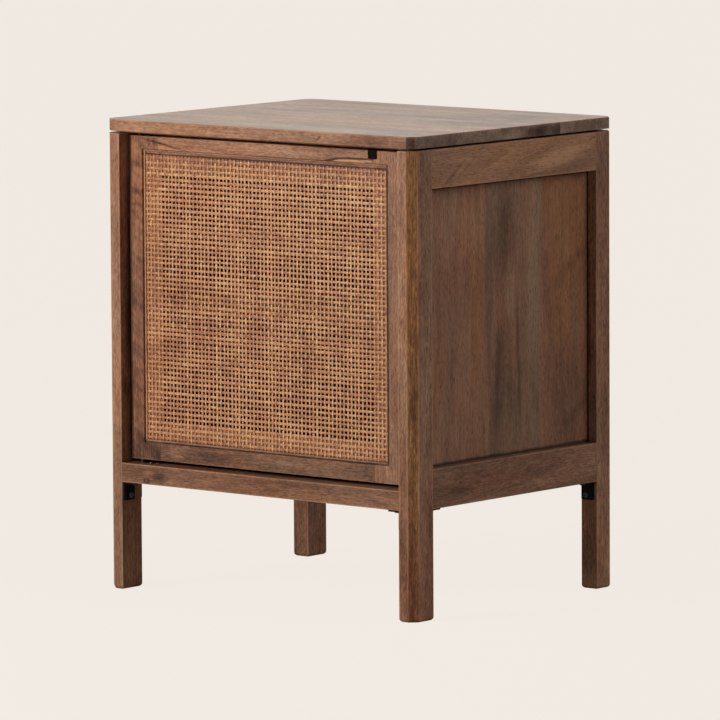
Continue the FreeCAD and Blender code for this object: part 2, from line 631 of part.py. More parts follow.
def build_catch():
    """Magnetic catch under the stretcher, with the magnet in a slot in its front."""
    body = piece("catch_body", "catch_x", "catch_front", "catch_low")
    half = "catch_len / 2"
    bar(body, "z", (f"-{half}", half), ("0", "catch_deep"), ("0", "catch_high"))
    ears = f"{half} + catch_ear"
    bar(body, "z", (f"-({ears})", ears), ("0", "catch_deep"), ("catch_high - catch_ear_thick", "catch_high"))
    slot_x = grown(("-magnet_len / 2", "magnet_len / 2"))
    slot_z = grown(("catch_high / 2 - magnet_high / 2", "catch_high / 2 + magnet_high / 2"))
    bar(body, "y", slot_x, slot_z, ("0", "magnet_deep - magnet_proud"), cut=True)
    holes = [(step, "catch_deep - catch_hole_set") for step in mirrored("catch_ear_mid")]
    rounds(body, "z", holes, "fitting_hole", "catch_high - catch_ear_thick", "catch_high")

    magnet = piece("catch_magnet", "catch_x", "catch_front - magnet_proud", "catch_low + catch_high / 2")
    bar(magnet, "y", ("-magnet_len / 2", "magnet_len / 2"), ("-magnet_high / 2", "magnet_high / 2"),
        ("0", "magnet_deep"))

    strike = piece("catch_strike", "catch_x", "door_back", "strike_z")
    bar(strike, "y", ("-strike_len / 2", "strike_len / 2"), ("-strike_high / 2", "strike_high / 2"),
        ("0", "strike_thick"))
    holes = [(step, "0") for step in mirrored("strike_hole_step / 2")]
    rounds(strike, "y", holes, "fitting_hole", "0", "strike_thick")


DOOR_TENON = ("door_tenon_set", "door_tenon_set + door_tenon_thick")


def build_stile(side):
    """Door stile: a stopped rebate for the cane in its face, and a mortise near each end."""
    body = piece(f"door_stile_{SIDE_NAMES[side]}", signed(side, "door_half"), "door_front", "door_low")
    bar(body, "z", inward(side, "0", "door_member"), ("0", "door_thick"), ("0", "door_high"))
    face = "hinge_stile_face" if side == LEFT else "pull_stile_face"
    bar(body, "z", inward(side, face, "door_member"), ("0", "rebate_deep"),
        ("door_foot_face", "door_high - door_head_face"), cut=True)
    depth = inward(side, "door_member - door_tenon_len - tenon_room", "door_member")
    low = ("door_shoulder", "door_member - door_shoulder")
    top = ("door_high - door_member + door_shoulder", "door_high - door_shoulder")
    for span in (low, top):
        mortise(body, "z", depth, grown(DOOR_TENON), grown(span))
    origin = signed(side, "door_half")
    if side == LEFT:
        leaf_x = seen_from(origin, *grown(LEAF_SPAN_X))
        leaf_y = seen_from("door_front", *grown(LEAF_SPAN_Y))
        pin = [seen_from(origin, "pivot_x") + seen_from("door_front", "pivot_y")]
        pin_hole = "leaf_thick + pin_reach + pin_room"
        for leaf, hole in ((("0", "leaf_thick + fit_gap"), ("0", pin_hole)),
                           (("door_high - leaf_thick - fit_gap", "door_high"),
                            (f"door_high - ({pin_hole})", "door_high"))):
            bar(body, "z", leaf_x, leaf_y, leaf, cut=True)
            rounds(body, "z", pin, "pin_dia + 2 * pin_hole_gap", *hole)


def build_door_rail(name, low, rebate):
    """Door rail between the stiles, rebated along its whole inner edge."""
    body = piece(f"door_rail_{name}", y="door_front", z=low)
    bar(body, "x", ("0", "door_thick"), ("0", "door_member"), ("-(seam_x)", "seam_x"))
    bar(body, "x", DOOR_TENON, ("door_shoulder", "door_member - door_shoulder"),
        ("-(seam_x + door_tenon_len)", "seam_x + door_tenon_len"))
    bar(body, "x", ("0", "rebate_deep"), rebate, ("-(seam_x)", "seam_x"), cut=True)


def build_door_frame():
    for side in (LEFT, RIGHT):
        build_stile(side)
    build_door_rail("bottom", "door_low", ("door_foot_face", "door_member"))
    build_door_rail("top", "door_top - door_member", ("0", "door_member - door_head_face"))


def build_cane():
    """Cane sheet on the rebate's floor, open in a grid, and the mitred beads round it."""
    cane = piece("cane_panel", y="door_front")
    through = ("rebate_deep - cane_thick", "rebate_deep")
    bar(cane, "y", ("cane_left", "cane_right"), ("cane_low", "cane_top"), through)
    bar(cane, "y", ("cane_left + cane_bar / 2", "cane_left + cane_step_x - cane_bar / 2"),
        ("cane_low + cane_bar / 2", "cane_low + cane_step_z - cane_bar / 2"), through, cut=True)
    repeat(cane, (CANE_COLUMNS, "cane_step_x"), (CANE_ROWS, "cane_step_z"))

    left, right, low, top = outer = ("bead_left", "bead_right", "bead_low", "bead_top")
    in_left, in_right, in_low, in_top = (f"{edge} {way} bead_wide" for edge, way in zip(outer, "+-+-"))
    for name, edge, inner in (("left", left, in_left), ("right", right, in_right)):
        bead = piece(f"cane_bead_{name}", y="door_front")
        prism(bead, "y", [(edge, low), (inner, in_low), (inner, in_top), (edge, top)], "bead_set", "rebate_deep")
    for name, edge, inner in (("bottom", low, in_low), ("top", top, in_top)):
        bead = piece(f"cane_bead_{name}", y="door_front")
        prism(bead, "y", [(left, edge), (right, edge), (in_right, inner), (in_left, inner)], "bead_set", "rebate_deep")


def build_pull():
    """Tab pull: a plate on the door's top edge, bent down over the front."""
    body = piece("pull_tab", "pull_x", "door_front", "door_top")
    half = "pull_wide / 2"
    outline = [("-pull_thick", "-pull_drop"), ("0", "-pull_drop"), ("0", "0"), ("pull_plate", "0"),
               ("pull_plate", "pull_thick"), ("-pull_thick", "pull_thick")]
    prism(body, "x", outline, f"-{half}", half)
    round_edges(body, "pull_thick", edges_at(Y="-pull_thick", Z="pull_thick"))
    round_edges(body, "pull_round", *(edges_at(X=edge, Z="-pull_drop") for edge in mirrored(half)))
    holes = [("0", "pull_hole_first"), ("0", "pull_hole_first + pull_hole_step")]
    rounds(body, "z", holes, "fitting_hole", "0", "pull_thick")


def check_document():
    """Stop if anything failed to compute, came out invalid, or cut nothing."""
    for item in doc.Objects:
        faults = {"Invalid", "Error"} & set(item.State)
        if faults:
            raise RuntimeError(f"{item.Label}: {', '.join(sorted(faults))}")
    for pocket in doc.findObjects("PartDesign::Pocket"):
        if pocket.Shape.Volume >= pocket.BaseFeature.Shape.Volume:
            raise RuntimeError(f"{pocket.Label} cuts nothing")
    for node in nodes:
        if node.Shape.isNull() or not node.Shape.isValid() or not node.Shape.Solids:
            raise RuntimeError(f"{node.Label} has no valid solid")


def main():
    build_top()
    for side in (LEFT, RIGHT):
        for end in (FRONT, REAR):
            build_leg(side, end)
        build_side_rails(side)
    build_cross_rails()
    build_hidden_top_members()
    build_panels()
    build_shelf()
    build_brackets()
    build_fixed_hinges()
    build_door_frame()
    build_cane()
    build_door_hinges()
    build_catch()
    build_pull()
    doc.recompute()
    check_document()
    os.makedirs("parts", exist_ok=True)
    for node in nodes:
        node.Shape.exportStep(f"parts/{node.Label}.step")


main()
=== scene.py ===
"""Storage side table with a cane door: wood finishes, woven cane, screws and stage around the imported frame."""
import math
import random
from dataclasses import dataclass

import bmesh
import bpy
from bpy.props import FloatProperty, FloatVectorProperty, IntProperty, PointerProperty
from mathutils import Matrix, Vector


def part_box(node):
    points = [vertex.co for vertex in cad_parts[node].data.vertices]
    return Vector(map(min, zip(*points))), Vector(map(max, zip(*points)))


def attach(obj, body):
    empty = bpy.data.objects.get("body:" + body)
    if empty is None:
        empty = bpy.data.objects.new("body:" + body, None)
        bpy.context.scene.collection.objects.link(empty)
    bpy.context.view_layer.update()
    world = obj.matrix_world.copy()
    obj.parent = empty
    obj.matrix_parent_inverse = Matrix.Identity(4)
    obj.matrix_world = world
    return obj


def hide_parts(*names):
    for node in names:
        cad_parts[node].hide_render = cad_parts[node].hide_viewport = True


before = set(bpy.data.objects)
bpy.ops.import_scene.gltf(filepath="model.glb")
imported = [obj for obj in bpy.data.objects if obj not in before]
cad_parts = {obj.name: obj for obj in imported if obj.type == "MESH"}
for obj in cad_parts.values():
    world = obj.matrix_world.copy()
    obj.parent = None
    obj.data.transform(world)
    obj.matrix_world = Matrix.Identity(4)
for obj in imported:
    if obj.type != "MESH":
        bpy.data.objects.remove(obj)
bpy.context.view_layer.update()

bl_info = {
    "name": "Cane Door Side Table",
    "version": (1, 0, 0),
    "blender": (4, 5, 0),
    "location": "View3D > Sidebar > Side Table",
    "description": "Dresses the packed side table with stained wood, woven cane, fittings and a stage",
    "category": "Object",
}

MM = 0.001
X, Y, Z = 0, 1, 2


def tint(red, green, blue):
    """A colour as a paint chart gives it, 0 to 255, turned into scene light."""
    parts = (red / 255, green / 255, blue / 255)
    return tuple(p / 12.92 if p <= 0.04045 else ((p + 0.055) / 1.055) ** 2.4 for p in parts)


def colour_property(name, description, colour):
    return FloatVectorProperty(
        name=name, description=description, default=tint(*colour), subtype="COLOR", min=0, max=1
    )


def length_property(name, description, metres):
    return FloatProperty(name=name, description=description, default=metres, min=0, unit="LENGTH")


def strength_property(name, description, strength, **more):
    return FloatProperty(name=name, description=description, default=strength, min=0, **more)


def angle_property(name, description, degrees):
    return FloatProperty(name=name, description=description, default=math.radians(degrees), subtype="ANGLE")


# -------- settings


class WoodSettings(bpy.types.PropertyGroup):
    """Stain and easing of the wooden pieces."""

    pale: colour_property("Pale grain", "Colour of the palest grain", (206, 158, 122))
    mid: colour_property("Stain", "Colour of the brown wash", (155, 112, 86))
    brown: colour_property("Brown grain", "Colour of the darker growth lines", (120, 82, 61))
    dark: colour_property("Dark grain", "Colour of dark streaks and knots", (72, 47, 36))
    pore: colour_property("Pores", "Colour inside the open pores", (62, 40, 29))
    easing: length_property("Arris", "How far the edges are eased", 0.5 * MM)
    post_easing: length_property("Post arris", "How far the posts' edges are eased", 1.6 * MM)
    bead_easing: length_property("Bead arris", "How far the beads' edges are rounded", 1.1 * MM)


class CaneSettings(bpy.types.PropertyGroup):
    """Weave of the door panel."""

    columns: IntProperty(name="Uprights", description="Number of upright strands", default=65, min=2)
    rows: IntProperty(name="Crossers", description="Number of level strands", default=57, min=2)
    upright_width: length_property("Upright width", "Width of an upright strand", 2.95 * MM)
    crosser_width: length_property("Crosser width", "Width of a level strand", 3.6 * MM)
    thickness: length_property("Thickness", "Thickness of a strand", 0.5 * MM)
    pale: colour_property("Pale cane", "Colour of the palest strands", (233, 185, 133))
    mid: colour_property("Cane", "Usual colour of a strand", (195, 137, 95))
    brown: colour_property("Brown cane", "Colour of the darkest strands", (150, 94, 64))


class FittingSettings(bpy.types.PropertyGroup):
    """Metal and plastic fittings."""

    black: colour_property("Black coat", "Colour of the coated brackets", (17, 16, 15))
    pull: colour_property("Pull coat", "Colour of the brown-black pull", (16, 8, 5))
    rubbed: colour_property("Rubbed coat", "Colour of the bracket screws' heads", (92, 88, 84))
    steel: colour_property("Bright steel", "Colour of the bare hinges and strike", (76, 73, 69))
    plastic: colour_property("Catch plastic", "Colour of the catch housing", (84, 60, 46))
    pan_width: length_property("Pan head", "Width of the bracket screws' heads", 7.6 * MM)
    flush_width: length_property("Flush head", "Width of the flush screws' heads", 5.0 * MM)


class StageSettings(bpy.types.PropertyGroup):
    """Backdrop, lamps and camera."""

    backdrop: colour_property("Backdrop", "Colour of the floor and backdrop", (240, 233, 225))
    key: strength_property("Key lamp", "Power of the soft lamp at front left", 50.0, unit="POWER")
    fill: strength_property("Fill lamp", "Strength of the lamp at rear right", 0.845)
    rear: strength_property("Rear lamp", "Strength of the low lamp behind", 0.75)
    room: strength_property("Room light", "Strength of the even light", 0.1)
    lens: FloatProperty(name="Lens", description="Focal length in millimetres", default=354.7, min=1)
    stand: FloatVectorProperty(
        name="Camera place", description="Where the camera stands", default=(5.8115, -6.9985, 1.3345), unit="LENGTH"
    )
    turn: angle_property("Turn", "Camera's turn round the table", 39.709)
    dip: angle_property("Dip", "Camera's downward tilt", 6.5133)
    roll: angle_property("Roll", "Camera's sideways tilt", -0.327)


# -------- shader sums


class Wire:
    """One socket of a finish. Sums on it add Math nodes."""

    def __init__(self, finish, socket):
        self.finish = finish
        self.socket = socket

    def maths(self, operation, *values):
        return self.finish.node("ShaderNodeMath", {"operation": operation}, dict(enumerate(values)))

    def __add__(self, other):
        return self.maths("ADD", self, other)

    __radd__ = __add__

    def __sub__(self, other):
        return self.maths("SUBTRACT", self, other)

    def __rsub__(self, other):
        return self.maths("SUBTRACT", other, self)

    def __mul__(self, other):
        return self.maths("MULTIPLY", self, other)

    __rmul__ = __mul__

    def __truediv__(self, other):
        return self.maths("DIVIDE", self, other)

    def __rtruediv__(self, other):
        return self.maths("DIVIDE", other, self)

    def __pow__(self, other):
        return self.maths("POWER", self, other)

    def __rpow__(self, other):
        return self.maths("POWER", other, self)

    def __abs__(self):
        return self.maths("ABSOLUTE", self)

    def root(self):
        return self.maths("SQRT", self)

    def least(self, other):
        return self.maths("MINIMUM", self, other)

    def most(self, other):
        return self.maths("MAXIMUM", self, other)

    def over(self, edge):
        return self.maths("GREATER_THAN", self, edge)

    def held(self):
        """Kept between 0 and 1."""
        return self.most(0.0).least(1.0)

    def rise(self, low, high):
        """0 below low, 1 above high, and a soft step between."""
        return self.finish.node(
            "ShaderNodeMapRange",
            {"interpolation_type": "SMOOTHSTEP", "clamp": True},
            {"Value": self, "From Min": low, "From Max": high},
            "Result",
        )


def find(sockets, key):
    """A node's socket by its number, identifier or name."""
    if isinstance(key, int):
        return sockets[key]
    return next((s for s in sockets if s.identifier == key), None) or sockets[key]


class Finish:
    """The node tree of a material or world, which grows one node at a time."""

    def __init__(self, owner):
        owner.use_nodes = True
        self.owner, self.tree = owner, owner.node_tree
        self.tree.nodes.clear()

    def node(self, kind, settings, sockets, out=0):
        """Adds a node of this type, with its settings first and then its sockets, and gives its output or outputs."""
        made = self.tree.nodes.new(kind)
        for key, value in settings.items():
            if key == "stops":
                elements = made.color_ramp.elements
                elements.remove(elements[-1])
                for place, colour in value[1:]:
                    elements.new(place).color = colour
                elements[0].position, elements[0].color = value[0]
            else:
                setattr(made, key, value)
        for key, value in sockets.items():
            socket = find(made.inputs, key)
            if isinstance(value, Wire):
                self.tree.links.new(value.socket, socket)
            else:
                socket.default_value = value
        if isinstance(out, tuple):
            return [Wire(self, find(made.outputs, o)) for o in out]
        return Wire(self, find(made.outputs, out))

    def place(self, measure="Object"):
        """The three coordinates of a point of the piece, in metres."""
        here = self.node("ShaderNodeTexCoord", {}, {}, measure)
        return self.node("ShaderNodeSeparateXYZ", {}, {0: here}, (X, Y, Z))

    def point(self, a, b, c):
        return self.node("ShaderNodeCombineXYZ", {}, {X: a, Y: b, Z: c})

    def cloud(self, where, detail=2.0, rough=0.5, scale=1.0, dimensions="3D", measure="Vector"):
        """Cloudy noise about 0.5."""
        return self.node(
            "ShaderNodeTexNoise",
            {"noise_dimensions": dimensions},
            {measure: where, "Scale": scale, "Detail": detail, "Roughness": rough},
        )

    def bands(self, where, detail, rough=0.5):
        """Uneven bands along one measure."""
        return self.cloud(where, detail, rough, dimensions="1D", measure="W")

    def mix(self, share, first, second, way="MIX"):
        """One colour laid over another by this share."""
        return self.node(
            "ShaderNodeMix",
            {"data_type": "RGBA", "blend_type": way, "clamp_result": False},
            {"Factor_Float": share, "A_Color": first, "B_Color": second},
            "Result_Color",
        )

    def relief(self, height, strength, distance=0.2 * MM):
        return self.node("ShaderNodeBump", {}, {"Height": height, "Strength": strength, "Distance": distance}, "Normal")

    def ramp(self, share, *stops):
        """Colours run into each other along a share, each stop a share and its colour."""
        stops = [(place, solid(colour)) for place, colour in stops]
        return self.node("ShaderNodeValToRGB", {"stops": stops}, {"Fac": share})

    def output(self, shader, kind="ShaderNodeOutputMaterial"):
        self.node(kind, {}, {"Surface": shader}, ())
        return self.owner

    def surface(self, sockets):
        return self.output(self.node("ShaderNodeBsdfPrincipled", {}, sockets))


def new_finish(name):
    return Finish(bpy.data.materials.new(name))


def solid(colour):
    return (*colour, 1.0)


def coated(piece, material):
    piece.data.materials.clear()
    piece.data.materials.append(material)


def new_piece(name, mesh, material):
    """Puts a finished mesh and its material into the scene."""
    mesh.materials.append(material)
    piece = bpy.data.objects.new(name, mesh)
    bpy.context.collection.objects.link(piece)
    return piece


def cast(shape, mesh):
    """Pours a finished shape into a mesh."""
    shape.to_mesh(mesh)
    shape.free()
    return mesh


def edge_distance(place, low, high):
    """How far a point on a box is from the box's nearest arris."""
    a, b, c = ((high[i] - low[i]) / 2 - abs(place[i] - (high[i] + low[i]) / 2) for i in (X, Y, Z))
    return a.least(b).most(a.most(b).least(c))


# -------- wood


@dataclass
class Mark:
    """A soft streak, patch or knot, or a band of painted shade or painted light: its place and reach in millimetres,
    and how it shifts the colour.

    It lies on two or three axes, its board's own unless it names others, and a slope tilts its second axis along
    its first. One with a depth lies only in the door's cane rebate, that far behind the front or deeper.
    """

    at: tuple
    reach: tuple
    tone: float = 0.0
    warm: float = 0.0
    red: float = 0.0
    slope: float = 0.0
    depth: float = 0.0
    axes: tuple = ()


@dataclass
class Board:
    """How one wooden piece was cut: grain along, across and through it, its glue joints, tone and figure."""

    axes: tuple
    seed: int
    joints: tuple = ()
    staves: tuple = ()
    shade: float = 0.0
    warm: float = 0.0
    pith: tuple = (0.02, 0.06)
    taper: float = 0.035
    contrast: float = 1.0
    red: float = 0.0
    hues: float = 1.0
    ripple: float = 0.08
    rub: float = 0.3
    polish: float = 0.0
    sawn: float = 0.0
    clipped: bool = False
    marks: tuple = ()


ALONG_X = (X, Z, Y)
ALONG_Y = (Y, Z, X)
UPRIGHT = (Z, X, Y)
UPRIGHT_SIDE = (Z, Y, X)
FLAT_X = (X, Y, Z)
XY, XZ, YZ, ZX, ZY = (X, Y), (X, Z), (Y, Z), (Z, X), (Z, Y)

LONG = 2000  # reach of a mark that runs past both ends of its piece
PAINTED_SHADE = -0.6  # tone of painted shade in a joint or groove, standing in for the shadow there
INSIDE_SHADE = {"tone": -0.45, "red": 1.0}  # painted shade on the panels' faces inside the cabinet, darkening what shows through the cane
IN_JOINT, ON_LIP = 0.7, 3.4  # depths in the cane rebate: the joint at its rim, and the lip behind the cane
REBATE = 4.3 * MM  # just past the floor of the cane rebate, behind the door's face
REBATE_FADE = 0.6 * MM

# Figure that runs on over the door's top left joint, and painted shade in the joints and grooves.
TOP_LEFT_VEIN = Mark((-172, 580), (46, 2.4), -0.42, slope=-0.17, warm=-0.3, axes=XZ)
TOP_LEFT_PALE = Mark((-176, 575), (30, 4), 0.11, slope=-0.06, warm=0.2, axes=XZ)
# painted shade in the gap between the cane's upper edge and the top bead
HEAD_JOINT_SHADE = Mark((0, 565.9), (LONG, 2.0), PAINTED_SHADE, depth=IN_JOINT, axes=XZ)


def groove_shade(axis, half, foot, head, head_tone):
    """Painted shade in the four grooves round a panel, where the rails and posts shade it, of this half width and these
    reaches at its foot and head.
    """
    return (
        Mark((0, 191), (LONG, foot), PAINTED_SHADE, axes=(axis, Z)),
        Mark((0, 543), (LONG, head), head_tone, axes=(axis, Z)),
        *(Mark((367, at), (LONG, 4), PAINTED_SHADE, axes=(Z, axis)) for at in (-half, half)),
    )


SIDE_GROOVE_SHADE = groove_shade(Y, 167, 5.5, 5, -0.5)
BACK_GROOVE_SHADE = groove_shade(X, 231, 3.2, 6, -0.35)
BOARDS = {}


def cut(name, axes, seed, *marks, **figure):
    """Notes how one wooden piece is cut and stained."""
    BOARDS[name] = Board(axes, seed, marks=marks, **figure)


cut(
    "top_panel", FLAT_X, 11,
    Mark((57, 600), (46, 12), -0.3, warm=-0.5, axes=YZ),
    Mark((38, 600), (18, 12), -0.14, axes=YZ),
    Mark((84, 600), (14, 12), -0.12, axes=YZ),
    Mark((-5, 600), (32, 12), 0.2, axes=YZ),
    Mark((155, 600), (60, 12), -0.06, axes=YZ),
    Mark((251, -200, 600), (9, 9, 14), -0.22, red=1.5),
    Mark((104, 602), (10, 2.2), -0.34, slope=0.8, axes=XZ),
    Mark((165, 600), (120, 18), -0.27, warm=0.35, axes=XZ),
    Mark((-150, 603), (110, 6), 0.04, warm=0.2, axes=XZ),
    Mark((90, -150), (60, 20), 0.08, warm=0.3),
    Mark((160, 110), (120, 30), -0.02, warm=-0.1),
    Mark((-190, -50), (120, 120), -0.08, red=-0.5),
    pith=(0.01, -0.09), red=-0.7, hues=0.6, polish=0.74, sawn=0.8, joints=(-0.128, -0.028, 0.023, 0.0925, 0.151),
    staves=((0.08, 0.15), (0.15, 1.0), (0.12, 0.8), (0.04, 0.5), (0.17, 1.0), (0.14, 0.9)),
)
cut(
    "leg_front_left", UPRIGHT, 21,
    # painted shade on the post's inner face beside the door
    Mark((390, -231, -176), (240, 9, 32), -0.4, warm=-1.0, red=-1.0),
    # painted light on the foot's inner face
    Mark((50, -231, -184), (100, 10, 44), 0.12, warm=-0.3),
    clipped=True, shade=0.04, warm=-0.15, red=0.2,
)
cut(
    "leg_front_right", UPRIGHT, 22,
    Mark((40, 228), (130, 60), -0.08, warm=0.35, red=0.9),
    Mark((150, 228), (180, 90), -0.12, warm=0.15, red=0.5),
    Mark((272, 250.5, -199.5), (52, 14, 14), -0.22, red=0.3),
    Mark((105, 250.5, -199.5), (80, 14, 14), -0.08, red=0.6),
    Mark((210, 236, -205), (135, 16, 20), -0.16, warm=0.5),
    Mark((430, 238, -205), (70, 14, 20), 0.08),
    Mark((140, 256, -178), (50, 12, 24), -0.09),
    # painted shade on the post's rear side and inner faces
    Mark((300, -162), (LONG, 30), -0.07, warm=-0.3, axes=ZY),
    Mark((75, 226), (45, 7), -0.14, slope=-0.08, warm=-0.8),
    clipped=True, shade=0.08, warm=-0.2, contrast=1.1,
)
cut("leg_rear_left", UPRIGHT, 23, clipped=True, shade=-0.2, warm=0.25)
cut(
    "leg_rear_right", UPRIGHT, 24,
    # painted shade on the post's front face in the recess beside the side panel
    Mark((367, 167, 237), (190, 4, 12), -0.28, axes=(Z, Y, X)),
    clipped=True, shade=0.03, warm=-0.15,
)
cut("side_top_rail_left", ALONG_Y, 31)
cut(
    "side_top_rail_right", ALONG_Y, 32,
    Mark((-122, 560), (30, 4), -0.2, slope=0.7),
    Mark((-96, 566), (26, 3), -0.12, slope=0.7),
    Mark((85, 563), (78, 15), 0.28, slope=0.12, warm=0.1),
    Mark((-20, 572), (40, 5), 0.08, slope=0.3),
    Mark((30, 545), (70, 4), -0.14, slope=0.15),
    shade=0.12, warm=0.1, red=-0.6, taper=0.2, contrast=0.65,
)
cut("side_bottom_rail_left", ALONG_Y, 33)
cut(
    "side_bottom_rail_right", ALONG_Y, 34,
    Mark((-110, 158), (34, 8), -0.16, warm=-0.4),
    shade=-0.05, warm=-0.4, contrast=0.85,
)
cut(
    "front_bottom_rail", ALONG_X, 35,
    Mark((-189, 145), (8, 5.2), -0.75),
    Mark((-189, 145), (5, 3.3), 0.75),
    Mark((-187, 155), (12, 5), 0.22, warm=0.6),
    Mark((-166, 150), (16, 10), -0.2, warm=-0.4),
    Mark((60, 160), (90, 2.5), -0.1),
    shade=-0.14,
)
cut("front_top_stretcher", FLAT_X, 36, shade=-0.1)
cut("rear_top_rail", ALONG_X, 37)
cut("rear_bottom_rail", ALONG_X, 38)
cut("rear_top_cleat", ALONG_X, 39)
cut(
    "side_panel_left", UPRIGHT_SIDE, 41, *SIDE_GROOVE_SHADE,
    Mark((367, -234.5), (LONG, 4), axes=ZX, **INSIDE_SHADE),
    joints=(-0.0715, 0.046), staves=((0.02, 0.4), (-0.06, -0.3), (0.0, 0.1)), contrast=0.7,
)
cut(
    "side_panel_right", UPRIGHT_SIDE, 42, *SIDE_GROOVE_SHADE,
    Mark((367, 234.5), (LONG, 4), axes=ZX, **INSIDE_SHADE),
    Mark((480, 2), (90, 40), -0.15, warm=-0.2),
    Mark((285, -8), (130, 38), -0.15, warm=-0.3),
    Mark((385, -12), (40, 34), 0.05, red=0.6),
    Mark((300, -20), (90, 6), -0.12, slope=0.05),
    Mark((320, 22), (150, 5), -0.14, slope=-0.04, warm=-0.3),
    Mark((440, 54), (190, 26), 0.13, warm=-0.1),
    Mark((420, -62), (280, 22), 0.03, warm=0.7),
    Mark((440, -130), (70, 40), 0.02, red=0.4),
    Mark((492, -92), (66, 84), 0.12, warm=-0.1),
    Mark((330, -125), (120, 24), -0.03, warm=-0.4),
    Mark((490, 118), (130, 56), 0.06, warm=0.9),
    Mark((250, 112), (110, 70), -0.09, warm=-0.6),
    Mark((424, 130), (44, 22), -0.1, slope=1.36, warm=-0.3),
    Mark((232, 140), (30, 18), -0.08, slope=1.3),
    joints=(-0.046, 0.0715), staves=((-0.01, -0.05), (0.03, -0.75), (-0.03, 0.45)), shade=-0.01, taper=0.05,
    contrast=0.6, red=0.15,
)
cut(
    "back_panel", UPRIGHT, 43, *BACK_GROOVE_SHADE,
    Mark((0, 183.5), (LONG, 4), axes=XY, **INSIDE_SHADE),
    contrast=0.7, joints=(-0.118, 0.004, 0.121), staves=((0.0, 0.1), (0.05, 0.3), (-0.06, -0.3), (0.02, 0.0)),
)
cut("bottom_panel", FLAT_X, 44, joints=(-0.06, 0.052), staves=((0.0, 0.0), (0.05, 0.2), (-0.04, -0.2)))
cut(
    "shelf", FLAT_X, 45,
    # painted shade along the shelf's front edge, which shows through the cane
    Mark((0, -155), (LONG, 5), -0.4),
    joints=(-0.06, 0.06), staves=((0.03, 0.2), (-0.05, 0.0), (0.02, -0.2)),
)
cut("shelf_cleat_left", ALONG_Y, 46)
cut("shelf_cleat_right", ALONG_Y, 47)
cut(
    "door_stile_left", UPRIGHT, 51, TOP_LEFT_VEIN, TOP_LEFT_PALE, HEAD_JOINT_SHADE,
    # painted light in the joint at the rebate's rim, lifting its shadow
    Mark((382, -205.3), (LONG, 1.8), 0.3, warm=0.4, depth=IN_JOINT),
    # painted shadow of the post along the stile's hinge-side edge
    Mark((382, -227, -190), (LONG, 3.2, 8), -0.8),
    # the rebate lip behind the cane painted lighter: painted light
    Mark((382, -184), (LONG, 60), 0.14, warm=0.7, depth=ON_LIP),
    Mark((535, -216), (62, 60), 0.11),
    Mark((412, -216), (84, 60), -0.05),
    Mark((255, -216), (84, 60), 0.04, warm=0.3),
    Mark((552, -218), (7, 30), -0.2, slope=-1.2),
    Mark((517, -218), (8, 30), -0.22, slope=-1.2),
    Mark((500, -216), (5, 30), -0.18, slope=-1.2),
    Mark((182, -203), (34, 44), -0.16, warm=-0.6),
    Mark((575, -220), (24, 12), 0.16, warm=0.3),
    shade=-0.17, ripple=0.5, warm=0.1, red=0.6, rub=0.12,
)
cut(
    "door_stile_right", UPRIGHT, 52, HEAD_JOINT_SHADE,
    # painted shade in the joint between the bead and the stile
    Mark((382, 202.2), (LONG, 1.6), PAINTED_SHADE, depth=IN_JOINT),
    # the rebate lip behind the cane, a little darker: painted shade
    Mark((382, 182), (LONG, 60), -0.03, warm=0.7, depth=ON_LIP),
    Mark((420, 206), (200, 9), warm=-0.7),
    shade=0.03, rub=0.12,
)
cut(
    "door_rail_top", ALONG_X, 53, TOP_LEFT_VEIN, TOP_LEFT_PALE, HEAD_JOINT_SHADE,
    # the rebate lip behind the cane painted darker: painted shade under the top rail
    Mark((0, 548), (LONG, 24), -0.1, warm=0.7, depth=ON_LIP),
    Mark((108, 573.4), (28, 2.0), -0.8, slope=0.16),
    Mark((154, 577.2), (46, 1.8), -0.7, slope=0.02),
    Mark((146, 573.8), (54, 3), 0.34, slope=0.02, warm=0.8),
    Mark((72, 584), (60, 3.5), -0.08, warm=-0.3),
    Mark((20, 582), (110, 12), 0.14),
    Mark((150, 583), (50, 6), 0.1, warm=-0.5),
    rub=0.12,
)
cut(
    "door_rail_bottom", ALONG_X, 54,
    # painted shade in the joint under the bottom bead
    Mark((0, 193.1), (LONG, 1.3), -0.3, depth=IN_JOINT),
    # the rebate lip behind the cane, a little lighter: painted light
    Mark((0, 212), (LONG, 40), 0.04, warm=0.7, depth=ON_LIP),
    Mark((-150, 182), (18, 14), 0.12, warm=0.3),
    Mark((-92, 180), (34, 12), -0.12, warm=-0.4),
    shade=-0.09, warm=-0.15, rub=0.12,
)
cut("cane_bead_top", ALONG_X, 55, shade=-0.02, rub=0.08)
cut("cane_bead_bottom", ALONG_X, 56, shade=-0.06, rub=0.08)
# painted light: the left bead is painted paler than the other beads to lift the shade beside the stile
cut("cane_bead_left", UPRIGHT, 57, shade=0.26, warm=0.5, rub=0.08)
# the mark is painted shade in the joint between the bead and the stile
cut("cane_bead_right", UPRIGHT, 58, Mark((382, 201.3), (LONG, 2.2), -0.9), shade=-0.04, warm=0.2, rub=0.08)

CORNER_CLIP = 0.0105  # length taken off the slab at each corner
CLIP_START, CLIP_FULL = 0.4490, 0.4502  # |x| + |y| where the posts' clipped corner begins, and well inside it
CLIP_MIDDLE, CLIP_HALF = 0.0510, 0.0105  # |x| - |y| in the middle of the clip, and half its width on that measure
CLIP_FOOT = (0.07, 0.13)  # heights between which the clip turns more amber
TOP_FACE = (0.8 * MM, 0.2 * MM)  # from this far under a piece's highest point up, the polish fades in
SAWN_FADE = 0.6 * MM
RUBBED_ARRIS = (0.3 * MM, 2.6 * MM)  # distances from an arris over which its rub fades
RUBBED_RIM = (0.4 * MM, 3.4 * MM)  # the same for the clip's two edges
# Tints laid over the stain.
GOLDEN = (1.09, 0.98, 0.75, 1.0)
ASHEN = (0.81, 0.95, 0.97, 1.0)
RUDDY = (1.07, 0.90, 0.84, 1.0)
AMBER = (1.16, 0.98, 0.60, 1.0)
SAWN = (0.60, 0.84, 1.09, 1.0)


